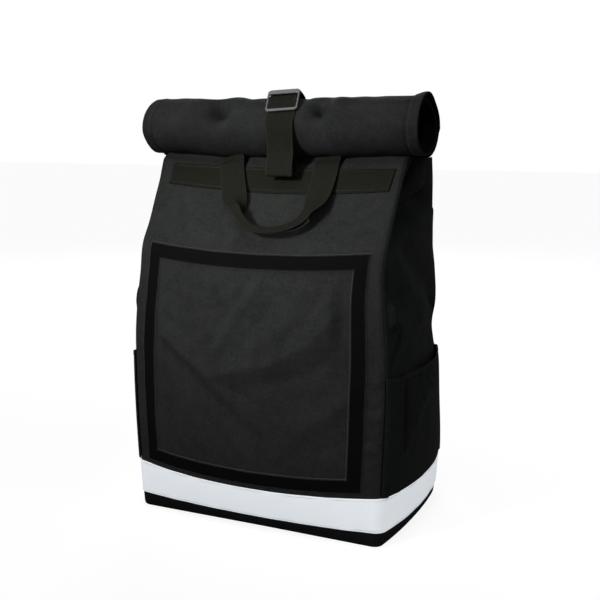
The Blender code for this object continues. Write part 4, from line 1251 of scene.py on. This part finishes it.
roll_half = ROLL_LENGTH / 2
roll_x = np.linspace(-roll_half, roll_half, 180)
roll_end = 360 * ROLL_TURNS - 40
roll_angles = np.concatenate([np.arange(0.0, 330.0, 2.5), np.arange(330.0, roll_end, 9.0)])
spiral = roll_point(roll_x[:, None], roll_angles[None, :], 0.0)
roll_grid = np.concatenate([roll_start(roll_x), spiral], axis=1)
rolled = cloth_piece("rolled_mouth", roll_grid, body_cloth, ROLL_SHEET, 0.0,
                     replaces=("roll_top",), held="folded")
# The roll's inner face takes the darkened lining, painted shade in its hollow.
rolled.data.materials.append(lining_painted_shade)
rolled.modifiers["thickness"].material_offset = 1
rolled.modifiers["thickness"].material_offset_rim = 1

# %% [markdown]
# A strap is a flat strip carried along a path: at each station the path gives
# the place and a vector across the strap. The smooth path is a cubic curve
# through a few chosen points.

# %% Straps


def smooth_path(points, count):
    """Points along a cubic curve through chosen points.

    The first three columns are a place and set the spacing; further columns
    follow with the same weights.
    """
    points = np.asarray(points, float)
    steps = np.linalg.norm(np.diff(points[:, :3], axis=0), axis=1)
    place = np.concatenate([[0.0], np.cumsum(np.sqrt(steps))])
    slopes = np.gradient(points, place, axis=0)
    wanted = np.linspace(0.0, place[-1], count)
    i = np.clip(np.searchsorted(place, wanted, side="right") - 1, 0, len(place) - 2)
    step = (place[i + 1] - place[i])[:, None]
    t = (wanted[:, None] - place[i][:, None]) / step
    return cubic_between(points, slopes, i, step, t)


def strip_frame(centre, across):
    """Unit vectors of a strip at each station: direction, across, outward."""
    direction = unit(np.gradient(centre, axis=0))
    across = square_to(across, direction)
    return direction, across, np.cross(direction, across)


ALONG_X = np.array([1.0, 0.0, 0.0])
STRIP_COLUMNS = 13


def strip_piece(name, centre, across, width, finish, replaced):
    """A flat strip of webbing along a path, as a piece.

    It is the centre line plus shares of the width across it, which are a
    sine, so that the points lie closer together at the edges.
    """
    across = strip_frame(centre, across)[1]
    share = np.sin(np.linspace(-math.pi / 2, math.pi / 2, STRIP_COLUMNS)) * 0.5
    grid = centre[:, None] + across[:, None] * (share * width)[None, :, None]
    along = run_length(centre)
    uv = np.stack(np.broadcast_arrays((share * width)[None, :], along[:, None]), axis=-1)
    cloth_piece(name, grid, finish, WEBBING, 0.0, replaces=(replaced,), uv=uv)


STRAP_FRONT_X = 0.0175
STRAP_SKEW = -0.011
SLIDER_WIDTH, SLIDER_LENGTH, SLIDER_THICKNESS = 0.0466, 0.042, 0.0026
SLIDER_BAR, SLIDER_MIDDLE_BAR, SLIDER_REAR_BAR = 0.0050, 0.0040, 0.0085
SLIDER_TILT, SLIDER_TURN, SLIDER_TWIST = 45.0, 8.0, 5.0
SLIDER_ANGLE, SLIDER_LIFT = 124.5, 0.0052


def strap_x(share):
    """Place of the closure strap along X: it runs slightly askew."""
    return STRAP_FRONT_X + STRAP_SKEW * share


def strap_lift(layers):
    """Lift of a strap's middle over the rolled sheet's middle."""
    return ROLL_SHEET / 2 + 0.0005 + WEBBING / 2 + layers * (WEBBING + 0.0005)


def slider_frame():
    """The slider's place and its unit vectors: along, outward and across."""
    radius = ROLL_RADIUS - ROLL_PITCH * (120.0 - 90.0) / 360.0
    turn = math.radians(SLIDER_ANGLE)
    lift = ROLL_SHEET / 2 + SLIDER_LIFT
    x = strap_x(0.55)
    place = np.array([x, ROLL_Y + (radius * ROLL_STRETCH + lift) * math.cos(turn),
                      ROLL_Z + (radius + lift) * math.sin(turn)
                      - float(mouth_sag(x)) * (1 - math.sin(turn)) / 2])
    ct, st = math.cos(math.radians(SLIDER_TILT)), math.sin(math.radians(SLIDER_TILT))
    cz, sz = math.cos(math.radians(SLIDER_TURN)), math.sin(math.radians(SLIDER_TURN))
    along = np.array([-sz * ct, cz * ct, st])
    out = np.array([sz * st, -cz * st, ct])
    across = np.array([cz, sz, 0.0])
    ck, sk = math.cos(math.radians(SLIDER_TWIST)), math.sin(math.radians(SLIDER_TWIST))
    return place, along * ck - across * sk, out, across * ck + along * sk


def smooth_roll(x, angle, lift):
    """A place over the roll without its small waves, for what is laid on it."""
    bare = roll_point(x, angle, lift)
    relief = roll_relief(np.asarray(x, float), np.asarray(angle, float))
    a = math.radians(angle)
    return bare - np.array([0.0, relief * ROLL_STRETCH * math.cos(a), relief * math.sin(a)])


# %% [markdown]
# The lower closure strap is sewn to the front and runs up the roll to the
# slider. The upper one comes from the back, goes over the roll, through the
# slider and hangs down in front as a free tail with a hemmed end.

# %% Closure straps


def front_strap_path():
    """Stations of the lower strap, from the band up under the slider."""
    low = strap_lift(0)
    panel = [front_spot(strap_x(0.0), h, 0.0032) for h in (0.501, 0.506, 0.510)]
    roll = [smooth_roll(strap_x(0.2), 208.0, low + 0.0016)]
    roll += [smooth_roll(strap_x(0.2), a, low + 0.0004) for a in (197.0, 185.0, 172.0, 163.0)]
    bridge = [panel[-1] * 0.5 + roll[0] * 0.5 + np.array([0.0, -0.005, -0.001])]
    return smooth_path(panel + bridge + roll, 90)


def back_strap_path():
    """Stations of the upper strap: tail, slider, roll, back panel."""
    place, along, out, across = slider_frame()
    half = SLIDER_LENGTH / 2
    bar = SLIDER_THICKNESS / 2 + 0.0005 + WEBBING / 2
    weave_points = (
        (-half - SLIDER_BAR, -bar * 1.3),
        (-half, -bar * 1.05),
        (-half + SLIDER_BAR / 2, -bar),
        (-half + SLIDER_BAR + WEBBING, -bar * 0.95),
        (-SLIDER_MIDDLE_BAR, bar * 0.85),
        (0.0, bar * 1.04),
        (SLIDER_MIDDLE_BAR, bar * 0.85),
        (half - SLIDER_REAR_BAR - WEBBING, -bar * 0.95),
        (half - SLIDER_REAR_BAR / 2, -bar),
        (half, -bar),
    )
    through = [place + along * y + out * z for y, z in weave_points]
    upper = strap_lift(1) + 0.0008
    front_y = smooth_roll(strap_x(0.1), 180.0, upper)[1]
    tail = [(strap_x(0.0), front_y - 0.0021, 0.5070),
            (strap_x(0.0), front_y - 0.0032, 0.5010),
            (strap_x(0.0), front_y - 0.0040, 0.4966),
            (strap_x(0.0), front_y - 0.0052, 0.4954),
            (strap_x(0.0), front_y - 0.0062, 0.4966),
            (strap_x(0.0), front_y - 0.0058, 0.5010),
            (strap_x(0.03), front_y - 0.0036, 0.5120),
            (strap_x(0.06), front_y, 0.530)]
    climb = ((176.0, upper, 0.18), (161.0, upper, 0.26))
    over = ((72.0, 0.0016, 1.30), (56.0, 0.0, 1.60), (35.0, 0.0, 1.80),
            (12.0, 0.0, 1.90), (0.0, 0.0006, 1.90))
    up_roll = [smooth_roll(strap_x(s), a, lift) for a, lift, s in climb]
    over_roll = [smooth_roll(strap_x(s), a, strap_lift(0) + lift) for a, lift, s in over]
    heights = (0.489, 0.475, 0.46, 0.44, 0.42, 0.40)
    back = [back_spot(strap_x(1.9), h, 0.0016) for h in heights]
    before, after = tail + up_roll, over_roll + back
    between = [ALONG_X * 0.5 + across * 0.5]
    widthwise = [ALONG_X] * (len(before) - 1) + between + [across] * len(through)
    widthwise += between + [ALONG_X] * (len(after) - 1)
    return smooth_path(np.hstack([np.array(before + through + after), np.array(widthwise)]), 300)


strip_piece("strap_lower", front_strap_path(), ALONG_X, WEBBING_WIDTH, webbing,
            "closure_strap_front")
path = back_strap_path()
strip_piece("strap_upper", path[:, :3], path[:, 3:], WEBBING_WIDTH, webbing,
            "closure_strap_back")

# %% [markdown]
# The grab handle is one length of webbing. Its legs are flat, and the grip is
# folded lengthwise, so that the inner half lies behind the outer half. The
# fold opens gradually, as real webbing does.

# %% Grab handle

HANDLE_TOP, HANDLE_DROP = 0.528, 0.1040
HANDLE_LEAN, HANDLE_CENTRE, HANDLE_SPREAD = 0.0144, 0.0062, 0.0715
GRIP_STANDOFF = 0.017


def folded_section(fold, half, columns, radius):
    """Cross-sections of a strip that folds about its middle line.

    The strip's direction turns by fold x 180 degrees over a length of two
    radii, and the place is the running sum of that direction.
    """
    s = np.linspace(-half, half, columns)
    turn = fold[:, None] * math.pi * smooth_ramp(s + radius, 2 * radius)[None, :]
    step = s[1] - s[0]
    wide = np.cumsum(np.cos(turn), axis=1) * step
    deep = -np.cumsum(np.sin(turn), axis=1) * step
    middle = (wide.max(axis=1, keepdims=True) + wide.min(axis=1, keepdims=True)) / 2
    return s, wide - middle, deep - deep.mean(axis=1, keepdims=True)


def handle_grid():
    """The handle's sheet: stations along the loop, places across the strip.

    The rows give the place sideways, the drop, the stand-off and the fold.
    """
    left = ((-1.10, 0.00, 0.18, 0.00), (-1.01, 0.30, 0.32, 0.02), (-0.83, 0.60, 0.60, 0.12),
            (-0.63, 0.82, 0.88, 0.72), (-0.34, 0.965, 1.00, 1.00))
    right = ((0.38, 0.965, 1.00, 1.00), (0.74, 0.83, 0.88, 0.72), (0.89, 0.60, 0.60, 0.12),
             (0.97, 0.30, 0.30, 0.02), (1.00, 0.00, 0.14, 0.00))
    rows = left + ((0.0, 1.0, 1.0, 1.0),) + right
    rows = smooth_path(rows, 150)
    x = HANDLE_CENTRE + rows[:, 0] * HANDLE_SPREAD + rows[:, 1] * HANDLE_LEAN
    height = HANDLE_TOP - rows[:, 1] * HANDLE_DROP
    lift = rows[:, 2] * GRIP_STANDOFF
    centre = front_spot(x, height, lift)
    normal = front_spot(x, height, lift + 0.001) - centre
    centre[:, 1] += 0.005 * smooth_ramp(height - MOUTH_HEIGHT + 0.004, 0.012)
    across = np.cross(normal, np.gradient(centre, axis=0))
    _, across, out = strip_frame(centre, across)
    fold = np.clip(rows[:, 3], 0.0, 1.0)
    width = WEBBING_WIDTH * (0.94 - 0.42 * fold)
    s, wide, deep = folded_section(fold, 0.5, 41, 0.06)
    wide, deep = wide * width[:, None], deep * width[:, None]
    grid = centre[:, None] + across[:, None] * wide[..., None] + out[:, None] * deep[..., None]
    along = run_length(centre)
    uv = np.stack(np.broadcast_arrays((s * WEBBING_WIDTH)[None, :], along[:, None]), axis=-1)
    return grid, uv


grid, uv = handle_grid()
cloth_piece("grab_loop", grid, webbing, WEBBING * 0.9, 0.0,
            replaces=("grab_handle",), uv=uv)

# %% [markdown]
# The slider is a stamped plate of grey steel with two slots. A flat curve with
# rounded corners and two holes, given depth and a round edge, makes that in
# one go, and the curve is turned into a mesh before it is put in place. The
# ladder buckles of the shoulder straps are plates of the same kind.

# %% Slider


def rounded_outline(x0, y0, x1, y1, radius, steps=7):
    """Points round a rectangle with quarter-circle corners."""
    points = []
    for cx, cy, start in ((x1 - radius, y1 - radius, 0), (x0 + radius, y1 - radius, 90),
                          (x0 + radius, y0 + radius, 180), (x1 - radius, y0 + radius, 270)):
        a = np.radians(start + np.linspace(0, 90, steps))
        points.append(np.stack([cx + radius * np.cos(a), cy + radius * np.sin(a)], axis=1))
    return np.concatenate(points)


PLATE_EDGE = 0.0011


def plate_mesh(name, outlines, thickness):
    """A plate from a closed outline and its holes, with rounded edges."""
    curve = bpy.data.curves.new(name, "CURVE")
    curve.dimensions = "2D"
    curve.fill_mode = "BOTH"
    for outline in outlines:
        spline = curve.splines.new("POLY")
        spline.points.add(len(outline) - 1)
        flat = np.hstack([outline, np.zeros((len(outline), 1)), np.ones((len(outline), 1))])
        spline.points.foreach_set("co", flat.astype(np.float32).ravel())
        spline.use_cyclic_u = True
    curve.extrude = thickness / 2 - PLATE_EDGE
    curve.bevel_depth = PLATE_EDGE
    curve.bevel_resolution = 3
    curve.offset = -PLATE_EDGE
    holder = bpy.data.objects.new(name, curve)
    scene.collection.objects.link(holder)
    bpy.context.view_layer.update()
    solid = holder.evaluated_get(bpy.context.evaluated_depsgraph_get())
    mesh = bpy.data.meshes.new_from_object(solid)
    bpy.data.objects.remove(holder)
    mesh.name = name
    return mesh


def place_mesh(mesh, place, along, out, across):
    """Move a flat mesh so that its x, y and z run across, along and out."""
    points = np.zeros(len(mesh.vertices) * 3, np.float32)
    mesh.vertices.foreach_get("co", points)
    points = points.reshape(-1, 3)
    points = place + points[:, :1] * across + points[:, 1:2] * along + points[:, 2:] * out
    mesh.vertices.foreach_set("co", points.astype(np.float32).ravel())
    mesh.update()


def buckle_piece(name, size, rim, bars, radii, frame, finish, replaced):
    """A plate with two slots, in its place, as a piece.

    Three bars run across it: the lower, middle and upper one. The rim is
    what is left beside the slots, and the radii are those of the plate's
    corners and the slots' corners.
    """
    width, length, thickness = size
    lower, middle, upper = bars
    outlines = [rounded_outline(-width / 2, -length / 2, width / 2, length / 2, radii[0])]
    for low, high in ((-length / 2 + lower, -middle / 2), (middle / 2, length / 2 - upper)):
        outlines.append(rounded_outline(rim - width / 2, low, width / 2 - rim, high, radii[1]))
    mesh = plate_mesh(name, outlines, thickness)
    place_mesh(mesh, *frame)
    add_piece(name, mesh, None, (replaced,))
    mesh.materials.clear()
    mesh.materials.append(finish)
    return mesh


slider_mesh = buckle_piece(
    "slider_plate", (SLIDER_WIDTH, SLIDER_LENGTH, SLIDER_THICKNESS), 0.0031,
    (SLIDER_BAR, SLIDER_MIDDLE_BAR, SLIDER_REAR_BAR), (0.0055, 0.0022), slider_frame(),
    metal, "slider_buckle")
slider_mesh.shade_smooth()
print("slider:", len(slider_mesh.polygons), "faces")

# %% [markdown]
# A low pocket covers the lower half of each side. It is sewn down at the front
# edge, along the bottom and at the back. An elastic gathers its top edge, and
# a pleat divides it.

# %% Side pockets

POCKET_TOP, POCKET_DIP, POCKET_STANDOFF = 0.236, 0.004, 0.0075
PLEAT_SHARE = 0.27
POCKET_SEAM_RIDGE = 0.0022
POCKET_FOLDS = (
    # width, height, line of (depth from the front, height up the cloth)
    (0.0022, -0.0046, ((0.0425, 0.236), (0.0425, 0.160), (0.0415, 0.050))),
    (0.0032, 0.0034, ((0.0480, 0.236), (0.0480, 0.190), (0.0465, 0.120))),
    (0.0035, 0.0026, ((0.0600, 0.236), (0.0610, 0.205), (0.0580, 0.165))),
    (0.0110, 0.0052, ((0.0600, 0.150), (0.1000, 0.190), (0.1650, 0.228))),
    (0.0050, -0.0022, ((0.0900, 0.236), (0.0940, 0.205), (0.1000, 0.175))),
    (0.0045, 0.0020, ((0.1200, 0.236), (0.1240, 0.208), (0.1300, 0.190))),
    (0.0060, 0.0012, ((0.1700, 0.236), (0.1720, 0.212), (0.1760, 0.185))),
    (0.0040, -0.0010, ((0.1450, 0.236), (0.1470, 0.220), (0.1500, 0.200))),
)


def pocket_grid(side, rows=90, columns=120, low_share=0.0, lift=0.0):
    """A pocket: the smooth side lifted by its slack, from seam to seam.

    Slack grows with height^1.5. The pleat is a narrow groove with a raised
    lip, and the gathers under the elastic are short folds. The edge turned in at
    each seam is a low ridge.
    """
    low = TRAY_HEIGHT + TAPE_WIDTH + 0.0003
    share = np.linspace(low_share, 1.0, rows)
    base, t = panel_places(side, low + share * (POCKET_TOP - low), columns)
    depth = (t if side == "right" else 1 - t)[None, :]
    share = share[:, None]
    height = low + share * (POCKET_TOP - low)
    first = np.clip(depth / PLEAT_SHARE, 0, 1)
    second = np.clip((depth - PLEAT_SHARE) / (1 - PLEAT_SHARE), 0, 1)
    halves = np.where(depth < PLEAT_SHARE, np.sin(np.pi * first) * 0.35, np.sin(np.pi * second))
    total = 0.0005 + POCKET_STANDOFF * share ** 1.5 * halves + lift
    inside = smooth_ramp(np.minimum(depth, 1 - depth) * BODY_DEPTH - 0.006, 0.012)
    for fold in POCKET_FOLDS:
        total = total + fold_height(depth * BODY_DEPTH, height, *fold) * inside
    total = total + soft_waves(depth * BODY_DEPTH, height * 0.6, 0.035, 0.0004, 51) * inside
    seam = steps_in(base.shape[1])[None, :]
    total = total + POCKET_SEAM_RIDGE * np.exp(-((seam - 3.0) / 1.2) ** 2)
    grid = base + grid_normals(base) * np.maximum(total, 0.0004)[..., None]
    grid[..., 2] -= share * POCKET_DIP * np.sin(np.pi * depth)
    return grid


for side in ("right", "left"):
    cloth_piece("pocket_" + side, pocket_grid(side), side_cloth_painted_shade, 0.0013, 1.0,
                replaces=("side_pocket_" + side,), held="gathered")
    binding = pocket_grid(side, rows=10, low_share=0.955, lift=0.0008)
    cloth_piece("pocket_binding_" + side, binding, side_cloth_painted_shade, 0.0010, 1.0)

# %% [markdown]
# The shoulder straps are behind the bag and the photograph doesn't show them.
# They are plain: a padded strap with a piped edge, a ladder buckle and a
# length of webbing down to the back panel.

# %% Shoulder straps

SHOULDER_TOP, SHOULDER_BOTTOM = 0.430, 0.165
SHOULDER_TOP_X, SHOULDER_BOTTOM_X = 0.052, 0.125
SHOULDER_WIDTH, SHOULDER_PAD, SHOULDER_STANDOFF = 0.062, 0.010, 0.030


def smooth_back(x, height, lift):
    """Point over the smooth back panel."""
    return body_point("back", 0.5 - np.asarray(x) / BODY_WIDTH, height, lift)


def shoulder_rows(sign, count):
    """Middle line of a padded strap and its width at each station."""
    rows = ((0.00, 0.00, 0.70), (0.08, 0.30, 0.86), (0.25, 0.78, 1.00),
            (0.50, 1.00, 1.00), (0.75, 0.86, 0.92), (1.00, 0.52, 0.62))
    path = smooth_path(rows, count)
    down, stand = path[:, 0], path[:, 1]
    height = SHOULDER_TOP + down * (SHOULDER_BOTTOM - SHOULDER_TOP)
    swing = np.sin(np.clip(down, 0.0, 1.0) * math.pi / 2)
    x = SHOULDER_TOP_X + swing * (SHOULDER_BOTTOM_X - SHOULDER_TOP_X)
    pad = 0.0010 + SHOULDER_PAD / 2
    top = smooth_back(sign * SHOULDER_TOP_X, SHOULDER_TOP, pad + 0.0005)
    away = BODY_DEPTH / 2 + BACK_BELLY + pad + stand * SHOULDER_STANDOFF
    settle = np.clip(down / 0.25, 0.0, 1.0)
    y = top[1] + (away - top[1]) * settle * (2 - settle)
    return np.stack([sign * x, y, height], axis=1), path[:, 2] * SHOULDER_WIDTH


PAD_ROWS, PAD_COLUMNS, PIPING_COLUMNS = 90, 72, 12


def shoulder_pad_grid(sign):
    """A crowned closed pad carried along the strap.

    The outline is flat at the sewn edge, crowned between, and drawn in along
    two sewn channels: thickness = pad x (1 - |s|^5) less the channels.
    """
    centre, width = shoulder_rows(sign, PAD_ROWS)
    _, across, out = strip_frame(centre, ALONG_X)
    turn = np.linspace(0, 2 * math.pi, PAD_COLUMNS, endpoint=False)
    s = np.cos(turn)
    crown = (1 - np.abs(s) ** 5) ** 0.6 * np.sign(np.sin(turn))
    channel = 1 - 0.55 * np.exp(-((np.abs(s) - 0.62) / 0.045) ** 2)
    ends = np.clip(steps_in(PAD_ROWS) / 4, 0.02, 1) ** 0.5
    thick = SHOULDER_PAD / 2 * crown[None, :] * channel[None, :] * ends[:, None]
    wide = s[None, :] * width[:, None] / 2
    return centre[:, None] + across[:, None] * wide[..., None] + out[:, None] * thick[..., None]


def close_ends(mesh, rows, columns):
    """Cap both ends of a tube with one face each."""
    work = bmesh.new()
    work.from_mesh(mesh)
    work.verts.ensure_lookup_table()
    work.faces.new([work.verts[k] for k in range(columns)][::-1])
    work.faces.new([work.verts[(rows - 1) * columns + k] for k in range(columns)])
    bmesh.ops.recalc_face_normals(work, faces=work.faces)
    work.to_mesh(mesh)
    work.free()


def edge_piping(name, sign, edge):
    """A narrow bound edge: an oval tube along one edge of the pad."""
    centre, width = shoulder_rows(sign, PAD_ROWS)
    _, across, out = strip_frame(centre, ALONG_X)
    line = centre + across * (width / 2 * edge)[:, None]
    turn = np.linspace(0, 2 * math.pi, PIPING_COLUMNS, endpoint=False)
    grid = (line[:, None] + across[:, None] * (np.cos(turn) * 0.0016)[None, :, None]
            + out[:, None] * (np.sin(turn) * 0.0022)[None, :, None])
    mesh = grid_mesh(name, grid, closed=True)
    close_ends(mesh, PAD_ROWS, PIPING_COLUMNS)
    add_piece(name, mesh, narrow_webbing)


for side, sign in (("right", 1), ("left", -1)):
    mesh = grid_mesh("shoulder_pad_" + side, shoulder_pad_grid(sign), closed=True)
    close_ends(mesh, PAD_ROWS, PAD_COLUMNS)
    pad = add_piece("shoulder_pad_" + side, mesh, padding_cloth,
                    ("shoulder_strap_" + side,))
    edge_piping("pad_piping_outer_" + side, sign, 1)
    edge_piping("pad_piping_inner_" + side, sign, -1)

# %% [markdown]
# Below each pad a ladder buckle holds the lower webbing, which ends in a short
# tab sewn to the back panel near the base.

# %% Ladder buckles and lower webbing

ADJUSTER_WIDTH, ADJUSTER_LENGTH = 0.034, 0.030
ADJUSTER_THICKNESS, ADJUSTER_BAR = 0.0035, 0.0045


def strap_end(sign):
    """The padded strap's lower end and the direction that it points in."""
    centre = shoulder_rows(sign, 15)[0]
    run = centre[-1] - centre[-2]
    run[0] = 0.0
    return centre[-1], run / np.linalg.norm(run)


for side, sign in (("right", 1), ("left", -1)):
    end, run = strap_end(sign)
    frame = (end + run * (ADJUSTER_LENGTH / 2 + 0.0006), run, np.cross(ALONG_X, run), ALONG_X)
    buckle_piece("ladder_buckle_" + side, (ADJUSTER_WIDTH, ADJUSTER_LENGTH, ADJUSTER_THICKNESS),
                 0.0035, (ADJUSTER_BAR,) * 3, (0.0035, 0.0012), frame, plastic,
                 "strap_adjuster_" + side)
    start = end + run * (ADJUSTER_LENGTH + 0.0012)
    feet = [smooth_back(end[0], h, 0.001 + WEBBING / 2) for h in (0.090, 0.074)]
    path = smooth_path([start, start + run * 0.012] + feet, 60)
    strip_piece("lower_webbing_" + side, path, ALONG_X, 0.025, narrow_webbing,
                "strap_webbing_" + side)

# %% [markdown]
# Stitches are short capsules of thread, laid one after another along the
# seams. Each has few faces because there are hundreds of them.

# %% Stitching


def stitch_run(points, normals, pitch=0.0040, length=0.0029, radius=0.00034):
    """Capsules along a line: points and faces of all of them at once.

    The line is read at equal steps. Each stitch is four rings of six points,
    narrow at the ends, laid along the line's direction there.
    """
    run = run_length(points)
    count = max(int(run[-1] / pitch), 1)
    at = (np.arange(count) + 0.5) * pitch

    def read(values, where):
        return np.stack([np.interp(where, run, values[:, k]) for k in range(3)], axis=1)

    centre = read(points, at)
    direction = unit(read(points, at + pitch * 0.4) - read(points, at - pitch * 0.4))
    up = square_to(read(normals, at), direction)
    wide = np.cross(direction, up)
    reach = np.array([-0.5, -0.32, 0.32, 0.5]) * length
    size = np.array([0.35, 1.0, 1.0, 0.35]) * radius
    sink = np.array([-0.7, 0.0, 0.0, -0.7]) * radius
    turn = np.linspace(0, 2 * math.pi, 6, endpoint=False)
    grid = (centre[:, None, None] + direction[:, None, None] * reach[None, :, None, None]
            + up[:, None, None] * (sink[:, None] + size[:, None] * np.sin(turn)[None, :])[None, ..., None]
            + wide[:, None, None] * (size[:, None] * np.cos(turn)[None, :])[None, ..., None])
    faces = []
    for ring in range(3):
        for k in range(6):
            a, b = ring * 6 + k, ring * 6 + (k + 1) % 6
            faces.append((a, a + 6, b + 6, b))
    first = (np.arange(count) * 24)[:, None, None]
    faces = np.array(faces)[None] + first
    caps = np.array([[0, 1, 2, 3, 4, 5], [23, 22, 21, 20, 19, 18]])[None] + first
    return grid.reshape(-1, 3), faces.reshape(-1, 4), caps.reshape(-1, 6)


def stitch_piece(name, lines, slot="body_cloth", **sizes):
    """One piece of many stitched lines, each a pair of points and normals."""
    points, quads, caps, offset = [], [], [], 0
    for line, normals in lines:
        p, f, c = stitch_run(line, normals, **sizes)
        points.append(p)
        quads.append(f + offset)
        caps.append(c + offset)
        offset += len(p)
    mesh = bpy.data.meshes.new(name)
    faces = [tuple(f) for f in np.concatenate(quads).tolist()]
    faces += [tuple(f) for f in np.concatenate(caps).tolist()]
    mesh.from_pydata(np.concatenate(points).tolist(), [], faces)
    mesh.shade_smooth()
    add_piece(name, mesh, thread)
    print(f"{name}: {offset // 24} stitches")


def front_line(x, height, lift):
    """A line over the folded front with its normals."""
    line = front_spot(x, height, lift)
    return line, front_spot(x, height, lift + 0.001) - line


def hook_lines():
    """Two rows of stitches, near the outer and inner edge of the frame."""
    lines = []
    for inset in (0.0020, 0.0200):
        xs, hs = nested_rectangle([inset])
        xs = np.append(xs[0], xs[0, 0])
        hs = np.append(hs[0], hs[0, 0])
        lines.append(front_line(xs, hs, 0.0017))
    return lines


stitch_piece("stitches_hook_frame", hook_lines(), "hook_and_loop", radius=0.00028)
band_x = np.linspace(-0.166, 0.1735, 300)
band_share = np.linspace(0.1, 0.9, 20)
stitch_piece("stitches_band", [
    front_line(band_x, band_height(band_x, 0.11), 0.0017),
    front_line(band_x + 0.002, band_height(band_x + 0.002, 0.89), 0.0017),
    front_line(np.linspace(0.1735, 0.1762, 20), band_height(0.175, band_share), 0.0018),
    front_line(np.full(20, -0.1660), band_height(-0.166, band_share), 0.0018),
], "webbing", radius=0.00026)


def roll_hem_line(x):
    """A stitched line round the roll at one place along X."""
    angles = np.linspace(20.0, 300.0, 160)
    line = roll_point(x, angles, 0.0014)
    return line, roll_point(x, angles, 0.0024) - line


stitch_piece("stitches_roll_hem",
             [roll_hem_line(s * (roll_half - HEM + 0.0032)) for s in (-1, 1)], radius=0.0003)


def tape_line(height, lift):
    """A stitched line round the body on the silver tape."""
    heights = np.array([height, height + 0.001])
    line, over = (ring_grid(heights, np.full((2, 1), up))[0] for up in (lift, lift + 0.001))
    return line, over - line


stitch_piece("stitches_tape", [
    tape_line(TRAY_HEIGHT + 0.0033, 0.0013),
    tape_line(TRAY_HEIGHT + TAPE_WIDTH - 0.0030, 0.0013)], "reflective_tape", radius=0.00026)
